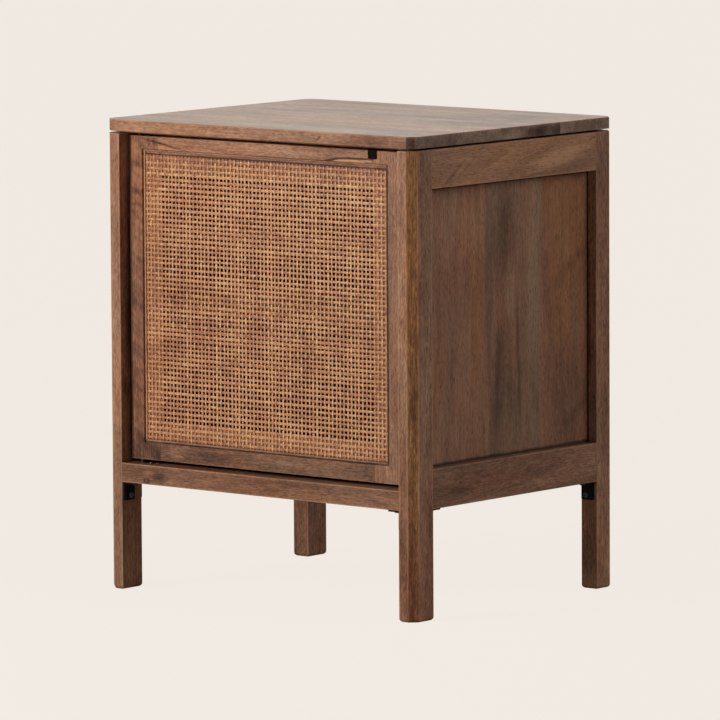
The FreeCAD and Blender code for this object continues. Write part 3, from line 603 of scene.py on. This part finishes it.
def stained_wood(node, board, settings):
    """Brown-washed wood with blotches, growth lines, fibre, pores and rubbed arrises, and the painted shade and light
    that some of its marks carry, cut as this board says.
    """
    finish = new_finish("stained_wood_" + node)
    low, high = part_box(node)
    place = finish.place()
    centre = [(low[i] + high[i]) / 2 for i in (X, Y, Z)]
    along, across, deep = (place[axis] - centre[axis] for axis in board.axes)

    draw = random.Random(board.seed)
    start, shift, stave_tone, stave_warm = draw.uniform(0, 9), draw.uniform(-0.02, 0.02), 0.0, 0.0
    if board.joints:
        stave_tone, stave_warm = board.staves[0]
        for i, joint in enumerate(board.joints):
            past = (across + centre[board.axes[1]]).over(joint)
            start = start + past * draw.uniform(2, 6)
            shift = shift + past * draw.uniform(-0.08, 0.08)
            stave_tone = stave_tone + past * (board.staves[i + 1][0] - board.staves[i][0])
            stave_warm = stave_warm + past * (board.staves[i + 1][1] - board.staves[i][1])
    run, side = along + start, across + shift

    def grain(lengthwise, crosswise, detail=2.0, rough=0.5, offset=0.0):
        """Noise drawn out along the grain, with this many waves to a metre along and across it."""
        beside = side * crosswise + offset if offset else side * crosswise
        return finish.cloud(finish.point(run * lengthwise, beside, deep * crosswise), detail, rough)

    sway = grain(1.7, 6) - 0.5
    ring = ((side - board.pith[0]) ** 2 + (deep - board.pith[1]) ** 2).root() + run * board.taper + sway * 0.07
    broad = finish.bands(ring * 60, 1.0) - 0.5
    fine = finish.bands(ring * 300, 2.0, 0.6) - 0.5
    fibre = grain(18, 420, 3.0, 0.6) - 0.5
    mottle = grain(50, 130, 3.0, 0.6) - 0.5
    hair = grain(60, 1300, 2.0, 0.6) - 0.5
    blotch = grain(7, 26, 3.0, 0.55) - 0.5
    drift = grain(2.2, 9, 1.0) - 0.5
    hue = grain(4, 19, offset=7.3) - 0.5
    blush = grain(9, 34, offset=3.1) - 0.5
    ripple = finish.cloud(finish.point(run * 95 + side * 60, side * 14, deep * 14)) - 0.5
    fleck = grain(150, 520, 2.0, 0.6) - 0.5
    pores = grain(110, 820, 0.0).rise(0.60, 0.74)
    streak = grain(1.6, 36).rise(0.56, 0.74)
    uneven = blotch * 0.9

    figure = broad * 0.24 + fine * 0.12 + fibre * 0.42 + hair * 0.24 + fleck * 0.62
    figure = figure + mottle * 0.34 + blotch * 0.40 + drift * 0.30
    tone = figure * board.contrast + ripple * board.ripple + (0.5 + board.shade) + stave_tone
    warm = (hue * 2.8 + mottle * 0.9) * board.hues + board.warm + stave_warm
    red = blush * 3 + board.red
    for mark in board.marks:
        steps = [place[axis] - at * MM for axis, at in zip(mark.axes or board.axes, mark.at)]
        if mark.slope:
            steps[1] = steps[1] - steps[0] * mark.slope
        spread = sum((step / (reach * MM)) ** 2 for step, reach in zip(steps, mark.reach)).root()
        share = 1 - (spread + uneven).rise(0.15, 1.0)
        if mark.depth:
            behind = place[Y] - low.y
            share = share * behind.rise(mark.depth * 0.6 * MM, mark.depth * MM)
            share = share * (1 - behind.rise(REBATE, REBATE + REBATE_FADE))
        tone = tone + share * mark.tone
        if mark.warm:
            warm = warm + share * mark.warm
        if mark.red:
            red = red + share * mark.red

    upper = place[Z].rise(*(high.z - under for under in TOP_FACE))
    if board.sawn:
        end = (high[board.axes[0]] - low[board.axes[0]]) / 2 - CORNER_CLIP
        sawn = abs(along).rise(end, end + SAWN_FADE) * (1 - upper)
        warm = warm * (1 - sawn * 0.8)
    colour = finish.ramp(
        tone, (0.02, settings.dark), (0.30, settings.brown), (0.52, settings.mid), (0.90, settings.pale)
    )
    for share, wash in ((warm, GOLDEN), (0 - warm, ASHEN), (red, RUDDY)):
        colour = finish.mix(share.held(), colour, wash, "MULTIPLY")
    colour = finish.mix(streak * 0.30, colour, solid(settings.dark))
    colour = finish.mix(pores * 0.40, colour, solid(settings.pore))
    worn = 1 - edge_distance(place, low, high).rise(*RUBBED_ARRIS)
    if board.clipped:
        corner = (abs(place[X]) + abs(place[Y])).rise(CLIP_START, CLIP_FULL)
        beside = abs(place[X]) - abs(place[Y])
        vein = finish.cloud(finish.point(run * 45, beside * 420, deep * 20), 3.0, 0.7).rise(0.44, 0.62)
        rim = 1 - (CLIP_HALF - abs(beside - CLIP_MIDDLE)).rise(*RUBBED_RIM)
        colour = finish.mix(corner * (0.4 + place[Z].rise(*CLIP_FOOT) * 0.4), colour, AMBER, "MULTIPLY")
        colour = finish.mix(corner * vein * 0.5, colour, solid(settings.dark))
        worn = worn.most(corner * rim)
    if board.sawn:
        colour = finish.mix(sawn * board.sawn, colour, SAWN, "MULTIPLY")
    colour = finish.mix(worn * (board.rub + uneven).most(0.0), colour, solid(settings.pale))

    height = fibre * 0.5 + hair * 0.35 - pores * 0.9
    return finish.surface({
        "Base Color": colour,
        "Roughness": 0.5 + pores * 0.16 + fibre * 0.12 - worn * 0.05,
        "Normal": finish.relief(height, 0.25, 0.4 * MM),
        "Specular IOR Level": 0.22,
        "Coat Weight": upper * (0.99 + mottle * 0.4 + uneven - streak * 0.1) * board.polish,
        "Coat Roughness": 0.28,
    })


SEAM = 0.01 * MM  # points closer than this are one
FLAT_ANGLE, ARRIS_ANGLE = 0.6, 32  # degrees: faces that make one flat, and edges that count as arrises
EASING_LIMIT = 0.12  # most that an arris may take off a piece, as a share of its least side


def ease(piece, width, segments=2):
    """Joins the split faces of a carried-over piece and softens its arrises."""
    weld = piece.modifiers.new("joined_faces", "WELD")
    weld.merge_threshold = SEAM
    flats = piece.modifiers.new("whole_flats", "DECIMATE")
    flats.decimate_type = "DISSOLVE"
    flats.angle_limit = math.radians(FLAT_ANGLE)
    soft = piece.modifiers.new("eased_arris", "BEVEL")
    soft.width = width
    soft.segments = segments
    soft.limit_method = "ANGLE"
    soft.angle_limit = math.radians(ARRIS_ANGLE)


def dress_boards(context, *starts):
    """Stains the boards whose names start in one of these ways, and eases their arrises."""
    wood = context.scene.side_table_wood
    for name in (n for n in BOARDS if n.startswith(starts)):
        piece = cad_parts[name]
        coated(piece, stained_wood(name, BOARDS[name], wood))
        low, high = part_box(name)
        if name.startswith("cane_bead"):
            ease(piece, wood.bead_easing, 3)
        else:
            width = wood.post_easing if name.startswith("leg_") else wood.easing
            ease(piece, min(width, min(high - low) * EASING_LIMIT))


class SIDETABLE_OT_top(bpy.types.Operator):
    """Stain the slab top"""

    bl_idname = "side_table.top"
    bl_label = "Slab Top"

    def execute(self, context):
        dress_boards(context, "top_panel")
        return {"FINISHED"}


class SIDETABLE_OT_posts(bpy.types.Operator):
    """Stain the four posts"""

    bl_idname = "side_table.posts"
    bl_label = "Posts"

    def execute(self, context):
        dress_boards(context, "leg_")
        return {"FINISHED"}


class SIDETABLE_OT_rails(bpy.types.Operator):
    """Stain the rails, stretcher and cleats that join the posts"""

    bl_idname = "side_table.rails"
    bl_label = "Rails"

    def execute(self, context):
        dress_boards(context, "side_top_rail", "side_bottom_rail", "front_", "rear_")
        return {"FINISHED"}


class SIDETABLE_OT_panels(bpy.types.Operator):
    """Stain the side, back and bottom panels"""

    bl_idname = "side_table.panels"
    bl_label = "Panels"

    def execute(self, context):
        dress_boards(context, "side_panel", "back_panel", "bottom_panel")
        return {"FINISHED"}


class SIDETABLE_OT_shelf(bpy.types.Operator):
    """Stain the shelf and its cleats"""

    bl_idname = "side_table.shelf"
    bl_label = "Shelf"

    def execute(self, context):
        dress_boards(context, "shelf")
        return {"FINISHED"}


class SIDETABLE_OT_door_frame(bpy.types.Operator):
    """Stain the door's stiles, rails and beads"""

    bl_idname = "side_table.door_frame"
    bl_label = "Door Frame"

    def execute(self, context):
        dress_boards(context, "door_", "cane_bead")
        return {"FINISHED"}


# -------- cane

CANE_SEED = 7
LOOSE = 0.09  # unevenness of the strands' spacing
RIM_SHARE = 0.6  # from the cane's edge to its first strand's middle, in upright widths
TOP_FRINGE = 4.5 * MM  # from the highest level strand to the cane's upper edge
HEAD_CLEAR, FOOT_CLEAR = 0.8 * MM, 0.1 * MM  # from the uprights' ends to the cane's upper edge and to the lower bead
UPRIGHT_TONE, CROSSER_TONE = 0.31, 0.18  # how pale each set of strands is painted; the uprights' higher value is painted light, for the light they catch
SHADED_STRIP = 0.03  # height of the strip of painted shade under the cane's upper edge
# A strand's section, across and front to back, as shares of its width and thickness: crowned in front.
STRAND_SECTION = ((-0.5, 0.1), (-0.36, -0.4), (0.36, -0.4), (0.5, 0.1), (0.4, 0.5), (-0.4, 0.5))


def cane_finish(name, settings, run_axis, lift, upper_edge):
    """Split cane: each strand its own brown, with paler skin patches and fibre lines, painted highlight and shade at
    its crossings, and painted shade near its upper edge.
    """
    finish = new_finish(name)
    place = finish.place()
    along, beside = place[run_axis], place[X if run_axis == Z else Z]
    strand, crossing = (
        finish.node("ShaderNodeAttribute", {"attribute_name": key}, {}, "Fac") for key in ("strand", "crossing")
    )
    lane = strand * 37
    patch = finish.cloud(finish.point(along * 26, lane, 0.0)) - 0.5
    region = finish.cloud(finish.point(place[X] * 24, place[Z] * 24, 0.0)) - 0.5
    hue = finish.cloud(finish.point(place[X] * 190, place[Z] * 190, 4.0), 1.0) - 0.5
    fibre = finish.cloud(finish.point(along * 60, beside * 2600, lane)) - 0.5
    speck = finish.cloud(finish.point(along * 330, beside * 700, lane), 1.0) - 0.5
    # painted shade under the bead and slab: strands are darker in the strip below the cane's upper edge
    under = place[Z].rise(upper_edge - SHADED_STRIP, upper_edge)
    tone = lift + crossing + strand * 0.5 + patch * 0.55 + region * 0.5 + fibre * 0.3 + speck * 0.9 - under * 0.14
    colour = finish.ramp(tone, (0.15, settings.brown), (0.5, settings.mid), (0.88, settings.pale))
    colour = finish.mix((hue * 4).held(), colour, GOLDEN, "MULTIPLY")
    colour = finish.mix((hue * -3).held(), colour, RUDDY, "MULTIPLY")
    return finish.surface({
        "Base Color": colour,
        "Roughness": 0.42 + fibre * 0.2 - patch * 0.12,
        "Normal": finish.relief(fibre, 0.2),
        "Specular IOR Level": 0.5,
    })


def lanes(first, last, count, draw):
    """Middles of a set of strands, unevenly spaced, here tighter and there wider."""
    steps = [1 + draw.uniform(-LOOSE, LOOSE) for _ in range(count - 1)]
    return [first + sum(steps[:i]) * (last - first) / sum(steps) for i in range(count)]


def strand_tones(count, draw):
    """A tone from 0 to 1 for each strand, alike in neighbours, different from bundle to bundle and dull at the rim."""
    tones, slow = [], 0.5
    for _ in range(count):
        slow += draw.uniform(-0.07, 0.07) - (slow - 0.5) * 0.15
        tones.append(min(1.0, max(0.0, slow + draw.uniform(-0.16, 0.16))))
    tones[0] = tones[-1] = 0.25
    return tones


def woven_strands(own, others, ends, width, thickness, phase, draw):
    """Points, faces, strand tones and crossing tones, with painted highlight and shade at the crossings, of one set of
    strands that goes over and under the other set.

    Points come as (across, along, front to back) before they are turned into place.
    """
    points, faces, strand, crossing_tones_and_shade = [], [], [], []
    size = len(STRAND_SECTION)
    tones = strand_tones(len(own), draw)
    for i, middle in enumerate(own):
        stations = [(ends[0], 0.0)]
        for j, crossing in enumerate(others):
            if j:
                stations.append(((others[j - 1] + crossing) / 2, 0.0))
            stations.append((crossing, 1.0 if (i + j + phase) % 2 else -1.0))
        stations.append((ends[1], 0.0))
        wide = width * draw.uniform(0.84, 1.16)
        first = len(points)
        for along, side in stations:
            drift = draw.uniform(-0.05, 0.05) * width
            for across, depth in STRAND_SECTION:
                points.append((middle + drift + across * wide, along, (side * 0.5 + depth) * thickness))
        for _, side in stations:
            strand += [tones[i]] * size
            # a random tone per crossing, plus painted highlight where the strand rides in front and painted shade where
            # it dives behind
            crossing_tones_and_shade += [draw.uniform(-0.13, 0.13) - side * 0.1] * size
        for step in range(len(stations) - 1):
            a = first + step * size
            for k in range(size):
                n = (k + 1) % size
                faces.append((a + k, a + n, a + size + n, a + size + k))
        faces.append(tuple(range(first + size - 1, first - 1, -1)))
        faces.append(tuple(range(len(points) - size, len(points))))
    return points, faces, {"strand": strand, "crossing": crossing_tones_and_shade}


def strand_piece(name, points, faces, tones, material):
    """One set of strands as a piece that carries its tones."""
    mesh = bpy.data.meshes.new(name)
    mesh.from_pydata(points, [], faces)
    for key, values in tones.items():
        mesh.attributes.new(key, "FLOAT", "POINT").data.foreach_set("value", values)
    mesh.polygons.foreach_set("use_smooth", [len(f) == 4 for f in faces])
    shape = bmesh.new()
    shape.from_mesh(mesh)
    bmesh.ops.recalc_face_normals(shape, faces=shape.faces)
    return new_piece(name, cast(shape, mesh), material)


class SIDETABLE_OT_cane(bpy.types.Operator):
    """Weave the door's cane from upright and level strands"""

    bl_idname = "side_table.cane"
    bl_label = "Woven Cane"

    def execute(self, context):
        settings = context.scene.side_table_cane
        low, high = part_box("cane_panel")
        draw = random.Random(CANE_SEED)
        middle = (low.y + high.y) / 2
        edge = settings.upright_width * RIM_SHARE
        columns = lanes(low.x + edge, high.x - edge, settings.columns, draw)
        rows = lanes(low.z + edge, high.z - TOP_FRINGE, settings.rows, draw)
        heights = (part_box("cane_bead_bottom")[1].z + FOOT_CLEAR, high.z - HEAD_CLEAR)
        sets = (
            ("cane_uprights", columns, rows, heights, settings.upright_width, 0, Z, UPRIGHT_TONE),
            ("cane_crossers", rows, columns, (low.x, high.x), settings.crosser_width, 1, X, CROSSER_TONE),
        )
        for name, own, others, ends, width, phase, run_axis, lift in sets:
            points, faces, tones = woven_strands(own, others, ends, width, settings.thickness, phase, draw)
            if run_axis == Z:
                points = [(across, middle + depth, along) for across, along, depth in points]
            else:
                points = [(along, middle + depth, across) for across, along, depth in points]
            piece = strand_piece(name, points, faces, tones, cane_finish(name, settings, run_axis, lift, high.z))
            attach(piece, "door")
            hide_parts("cane_panel")
        return {"FINISHED"}


# -------- fittings and screws

# Second colours of the coats: rubbed, dull or darker places.
WORN_BLACK = tint(48, 46, 44)
WORN_PULL = tint(40, 26, 20)
WORN_SCREW = tint(120, 114, 108)
DULL_STEEL = tint(66, 63, 58)
DARK_PLASTIC = tint(66, 46, 35)
BRIGHT_PIECES = (
    "hinge_plate_top", "hinge_plate_bottom", "hinge_leaf_top", "hinge_leaf_bottom", "catch_strike", "catch_magnet",
)


def black_coat(name, base, worn, gloss=0.12):
    """Powder-coated steel, fine-grained, rubbed a little greyer in places."""
    finish = new_finish(name)
    place = finish.point(*finish.place())
    grain = finish.cloud(place, scale=2200) - 0.5
    rub = finish.cloud(place, 3.0, scale=160).rise(0.52, 0.78)
    return finish.surface({
        "Base Color": finish.mix(rub * 0.35, solid(base), solid(worn)),
        "Roughness": 0.46 + grain * 0.2 - rub * 0.08,
        "Normal": finish.relief(grain, 0.22),
        "Specular IOR Level": gloss,
    })


def bright_steel(settings):
    """Zinc-bright steel with drawn lines and dull patches."""
    finish = new_finish("bright_steel")
    x, y, z = finish.place()
    drawn = finish.cloud(finish.point(x * 60, y * 1800, z * 1800), 3.0) - 0.5
    dull = finish.cloud(finish.point(x, y, z), 3.0, scale=130).rise(0.42, 0.74)
    return finish.surface({
        "Base Color": finish.mix(dull * 0.5, solid(settings.steel), solid(DULL_STEEL)),
        "Metallic": 1.0,
        "Roughness": 0.27 + dull * 0.2 + drawn * 0.14,
        "Normal": finish.relief(drawn, 0.12),
    })


def moulded_plastic(settings):
    """Moulded housing with a fine spark texture."""
    finish = new_finish("catch_plastic")
    place = finish.point(*finish.place())
    spark = finish.cloud(place, scale=1700) - 0.5
    flow = finish.cloud(place, scale=90) - 0.5
    return finish.surface({
        "Base Color": finish.mix(0.5 + flow, solid(settings.plastic), solid(DARK_PLASTIC)),
        "Roughness": 0.44 + spark * 0.18,
        "Normal": finish.relief(spark, 0.2),
    })


class SIDETABLE_OT_fittings(bpy.types.Operator):
    """Coat the brackets, pull, hinges and catch"""

    bl_idname = "side_table.fittings"
    bl_label = "Fittings"

    def execute(self, context):
        settings = context.scene.side_table_fittings
        coats = (
            (black_coat("black_steel", settings.black, WORN_BLACK), ("corner_brackets",)),
            (black_coat("pull_coat", settings.pull, WORN_PULL, gloss=0.04), ("pull_tab",)),
            (bright_steel(settings), BRIGHT_PIECES),
            (moulded_plastic(settings), ("catch_body",)),
        )
        for material, names in coats:
            for name in names:
                coated(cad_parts[name], material)
        return {"FINISHED"}


ROUND = 24  # sides of a screw
SHANK = 1.6 * MM  # length of a shank below its head
# Profiles of heads, as shares of their radius and height.
PAN_HEAD = ((1.0, 0.0), (1.04, 0.12), (1.0, 0.42), (0.88, 0.72), (0.72, 0.9), (0.56, 1.0))
FLUSH_HEAD = ((0.5, -0.42), (0.97, 0.0), (1.0, 0.06), (0.9, 0.1))
# The cross recess, as shares of the head's radius: half its length, half its width, its depth and its floor.
RECESS_ARM, RECESS_HALF, RECESS_DEEP, RECESS_FLOOR = 0.46, 0.1, 0.26, 0.8
UP, DOWN, BACK = (0, 0, 1), (0, 0, -1), (0, 1, 0)


@dataclass
class ScrewKind:
    """A kind of screw: its head's width, height and profile, and its shank's radius."""

    width: float
    high: float
    profile: tuple
    shank: float


def screw(shape, kind, place, outward, spin):
    """Adds one screw: a turned head with a cross recess, and the start of its shank."""
    radius = kind.width / 2
    ring = [(kind.shank, -SHANK), (kind.shank, kind.high * kind.profile[0][1])]
    ring += [(radius * r, kind.high * h) for r, h in kind.profile]
    turn = outward.to_track_quat("Z", "Y").to_matrix().to_4x4() @ Matrix.Rotation(spin, 4, "Z")
    at = Matrix.Translation(place) @ turn

    def spot(x, y, z):
        return shape.verts.new(at @ Vector((x, y, z)))

    circles = [
        [spot(r * math.cos(t), r * math.sin(t), h) for t in (2 * math.pi * k / ROUND for k in range(ROUND))]
        for r, h in ring
    ]
    shape.faces.new(circles[0][::-1])
    for lower, upper in zip(circles, circles[1:]):
        for k in range(ROUND):
            n = (k + 1) % ROUND
            shape.faces.new((lower[k], lower[n], upper[n], upper[k])).smooth = True
    top = ring[-1][1]
    arm, half = radius * RECESS_ARM, radius * RECESS_HALF
    outline = []
    for quarter in range(4):
        c, s = math.cos(quarter * math.pi / 2), math.sin(quarter * math.pi / 2)
        outline += [(c * x - s * y, s * x + c * y) for x, y in ((half, half), (half, arm), (-half, arm))]
    rim = [spot(x, y, top) for x, y in outline]
    floor = [spot(x * RECESS_FLOOR, y * RECESS_FLOOR, top - RECESS_DEEP * radius) for x, y in outline]
    edges = [shape.edges.get((circles[-1][k], circles[-1][(k + 1) % ROUND])) for k in range(ROUND)]
    edges += [shape.edges.new(pair) for pair in zip(rim, rim[1:] + rim[:1])]
    bmesh.ops.triangle_fill(shape, use_beauty=True, edges=edges)
    for k in range(len(rim)):
        n = (k + 1) % len(rim)
        shape.faces.new((rim[k], rim[n], floor[n], floor[k]))
    shape.faces.new(floor)


def screw_set(name, kind, spots, material, body):
    """One piece of like screws. Each spot is a place and the way its head faces."""
    shape = bmesh.new()
    draw = random.Random(name)
    for place, outward in spots:
        screw(shape, kind, Vector(place), Vector(outward), draw.uniform(0, math.pi))
    bmesh.ops.recalc_face_normals(shape, faces=shape.faces)
    piece = new_piece(name, cast(shape, bpy.data.meshes.new(name)), material)
    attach(piece, body)


def row(xs, y, z, outward):
    """Spots of screws side by side."""
    return [((x, y, z), outward) for x in xs]


def bracket_spots():
    """Two screws in each of the eight brackets, one into the post and one up into the rail."""
    spots = []
    for x in (-1, 1):
        for y in (-1, 1):
            spots += [
                ((x * 0.2285, y * 0.1906, 0.1223), (-x, 0, 0)),
                ((x * 0.2185, y * 0.1926, 0.1380), DOWN),
                ((x * 0.2402, y * 0.1645, 0.1223), (0, -y, 0)),
                ((x * 0.2422, y * 0.1545, 0.1380), DOWN),
            ]
    return spots


class SIDETABLE_OT_screws(bpy.types.Operator):
    """Drive the screws of the brackets, hinges, catch and pull"""

    bl_idname = "side_table.screws"
    bl_label = "Screws"

    def execute(self, context):
        settings = context.scene.side_table_fittings
        bright, pull_coat = (bpy.data.materials[name] for name in ("bright_steel", "pull_coat"))
        rubbed = black_coat("rubbed_steel", settings.rubbed, WORN_SCREW)
        pan = ScrewKind(settings.pan_width, 2.3 * MM, PAN_HEAD, 1.9 * MM)
        small_pan = ScrewKind(6 * MM, 1.8 * MM, PAN_HEAD, 1.4 * MM)
        flush = ScrewKind(settings.flush_width, 1.5 * MM, FLUSH_HEAD, 1.2 * MM)
        hinge = ((-0.20075, -0.1885), -0.183)
        leaf = row(*hinge, 0.5889, UP) + row(*hinge, 0.1703, DOWN)
        plate = row(*hinge, 0.592, DOWN) + row(*hinge, 0.1655, UP)
        catch = row((0.1755, 0.2145), -0.1542, 0.569, DOWN)
        strike = row((0.181, 0.209), -0.167, 0.5655, BACK)
        pull = [((0.1788, y, 0.5907), UP) for y in (-0.184, -0.177)]
        screw_set("bracket_screws", pan, bracket_spots(), rubbed, "carcass")
        screw_set("hinge_leaf_screws", flush, leaf, bright, "door")
        screw_set("hinge_plate_screws", flush, plate, bright, "carcass")
        screw_set("catch_screws", small_pan, catch, bright, "carcass")
        screw_set("catch_strike_screws", flush, strike, bright, "door")
        screw_set("pull_tab_screws", flush, pull, pull_coat, "door")
        return {"FINISHED"}


# -------- stage

FLOOR_REACH = 40.0
FLOOR_DROP = 0.4 * MM  # keeps the floor clear of the feet
FLOOR_DUST = tint(190, 181, 172)  # the floor as the table sees it
FLOOR_PLAIN, FLOOR_GLOW = 0.96, 1.032  # share of the floor that shows plain, without the shadow, and its strength
LAMP_COLOUR = (0.98, 1.0, 1.06)
ROOM_COLOUR = (1.0, 0.985, 0.96)
# Lamps: the key's side, place and aim in metres, and where the far lamps shine from, with their spread in degrees.
KEY_SIZE, KEY_PLACE, KEY_AIM = 0.9, (-0.85, -2.4, 1.25), (0.0, -0.2, 0.4)
FILL_SIDE, FILL_SPREAD = (0.75, 0.35, 0.45), 40
REAR_SIDE, REAR_SPREAD = (-0.6, 0.8, 0.12), 20
SENSOR = 36.0


def ray_kinds(finish):
    """Shares for rays seen straight or through something, and for rays mirrored by a surface."""
    straight, mirrored, through = finish.node(
        "ShaderNodeLightPath", {}, {}, ("Is Camera Ray", "Is Glossy Ray", "Is Transmission Ray")
    )
    return straight.most(through), mirrored


def pale_floor(settings):
    """Pale floor that keeps a soft shadow under the table and throws little light back up."""
    finish = new_finish("pale_floor")
    seen = ray_kinds(finish)[0]
    colour = finish.mix(seen, solid(FLOOR_DUST), solid(settings.backdrop))
    lit = finish.node("ShaderNodeBsdfDiffuse", {}, {"Color": colour})
    plain = finish.node("ShaderNodeEmission", {}, {"Color": solid(settings.backdrop), "Strength": FLOOR_GLOW})
    return finish.output(finish.node("ShaderNodeMixShader", {}, {0: seen * FLOOR_PLAIN, 1: lit, 2: plain}))


def hang(name, data, toward):
    """Hangs a lamp so that it shines from the given side."""
    made = bpy.data.objects.new(name, data)
    made.rotation_mode = "QUATERNION"
    made.rotation_quaternion = Vector(toward).to_track_quat("Z", "Y")
    bpy.context.collection.objects.link(made)
    return made


def key_lamp(power):
    """A square soft lamp close to the table."""
    data = bpy.data.lights.new("key_lamp", "AREA")
    data.energy, data.size = power, KEY_SIZE
    hang("key_lamp", data, Vector(KEY_PLACE) - Vector(KEY_AIM)).location = KEY_PLACE


def far_lamp(name, strength, spread, toward, mirrored=True):
    """A far soft lamp, mirrored in the polish or not."""
    data = bpy.data.lights.new(name, "SUN")
    data.energy, data.angle, data.color = strength, math.radians(spread), LAMP_COLOUR
    hang(name, data, toward).visible_glossy = mirrored


def lay_floor(settings):
    """A flat floor that the table stands on."""
    mesh = bpy.data.meshes.new("floor")
    corners = ((-1, -1), (1, -1), (1, 1), (-1, 1))
    mesh.from_pydata([(x * FLOOR_REACH, y * FLOOR_REACH, -FLOOR_DROP) for x, y in corners], [], [range(4)])
    floor = new_piece("floor", mesh, pale_floor(settings))


def pale_room(settings):
    """Even light all round, behind it the plain backdrop, which the polish mirrors on its far side."""
    finish = Finish(bpy.data.worlds.new("pale_room"))
    seen, mirrored = ray_kinds(finish)
    x, y, _ = finish.place("Generated")
    behind = (y * math.cos(settings.turn) - x * math.sin(settings.turn)).rise(0.1, 0.8)
    room, plain = (
        finish.node("ShaderNodeBackground", {}, {"Color": solid(colour), "Strength": strength})
        for colour, strength in ((ROOM_COLOUR, settings.room), (settings.backdrop, 1.0))
    )
    shader = finish.node("ShaderNodeMixShader", {}, {0: seen.most(mirrored * behind), 1: room, 2: plain})
    return finish.output(shader, "ShaderNodeOutputWorld")


def set_camera(settings):
    """A camera at its stand, turned, dipped and rolled as the settings say."""
    data = bpy.data.cameras.new("camera")
    data.lens, data.sensor_width = settings.lens, SENSOR
    data.clip_start, data.clip_end = 0.1, 100.0
    camera = bpy.data.objects.new("camera", data)
    turn, dip = settings.turn, settings.dip
    right = Vector((math.cos(turn), math.sin(turn), 0.0))
    back = Vector((math.sin(turn) * math.cos(dip), -math.cos(turn) * math.cos(dip), math.sin(dip)))
    level = Matrix((right, back.cross(right), back)).transposed()
    roll = Matrix.Rotation(settings.roll, 4, "Z")
    camera.matrix_world = Matrix.Translation(settings.stand) @ level.to_4x4() @ roll
    bpy.context.collection.objects.link(camera)
    return camera


class SIDETABLE_OT_stage(bpy.types.Operator):
    """Lay the floor and set the lamps, backdrop and camera"""

    bl_idname = "side_table.stage"
    bl_label = "Stage"

    def execute(self, context):
        scene, settings = context.scene, context.scene.side_table_stage
        scene.view_settings.view_transform = "Standard"
        lay_floor(settings)
        scene.world = pale_room(settings)
        key_lamp(settings.key)
        far_lamp("fill_lamp", settings.fill, FILL_SPREAD, FILL_SIDE)
        far_lamp("rear_lamp", settings.rear, REAR_SPREAD, REAR_SIDE, mirrored=False)
        scene.camera = set_camera(settings)
        return {"FINISHED"}


# -------- add-on


class SIDETABLE_PT_panel(bpy.types.Panel):
    """Steps and settings of the side table"""

    bl_label = "Side Table"
    bl_idname = "SIDETABLE_PT_panel"
    bl_space_type = "VIEW_3D"
    bl_region_type = "UI"
    bl_category = "Side Table"

    def draw(self, context):
        for operator in OPERATORS:
            self.layout.operator(operator.bl_idname)
        for name in SETTINGS:
            box = self.layout.box()
            group = getattr(context.scene, name)
            for key in group.bl_rna.properties.keys():
                if key not in ("rna_type", "name"):
                    box.prop(group, key)


SETTINGS = {
    "side_table_wood": WoodSettings,
    "side_table_cane": CaneSettings,
    "side_table_fittings": FittingSettings,
    "side_table_stage": StageSettings,
}
OPERATORS = (
    SIDETABLE_OT_top,
    SIDETABLE_OT_posts,
    SIDETABLE_OT_rails,
    SIDETABLE_OT_panels,
    SIDETABLE_OT_shelf,
    SIDETABLE_OT_door_frame,
    SIDETABLE_OT_cane,
    SIDETABLE_OT_fittings,
    SIDETABLE_OT_screws,
    SIDETABLE_OT_stage,
)


def register():
    for cls in (*SETTINGS.values(), *OPERATORS, SIDETABLE_PT_panel):
        bpy.utils.register_class(cls)
    for name, group in SETTINGS.items():
        setattr(bpy.types.Scene, name, PointerProperty(type=group))


def unregister():
    for name in SETTINGS:
        delattr(bpy.types.Scene, name)
    for cls in (SIDETABLE_PT_panel, *reversed(OPERATORS), *SETTINGS.values()):
        bpy.utils.unregister_class(cls)


def main():
    register()
    bpy.ops.side_table.top()
    bpy.ops.side_table.posts()
    bpy.ops.side_table.rails()
    bpy.ops.side_table.panels()
    bpy.ops.side_table.shelf()
    bpy.ops.side_table.door_frame()
    bpy.ops.side_table.cane()
    bpy.ops.side_table.fittings()
    bpy.ops.side_table.screws()
    bpy.ops.side_table.stage()


if __name__ == "__main__":
    main()
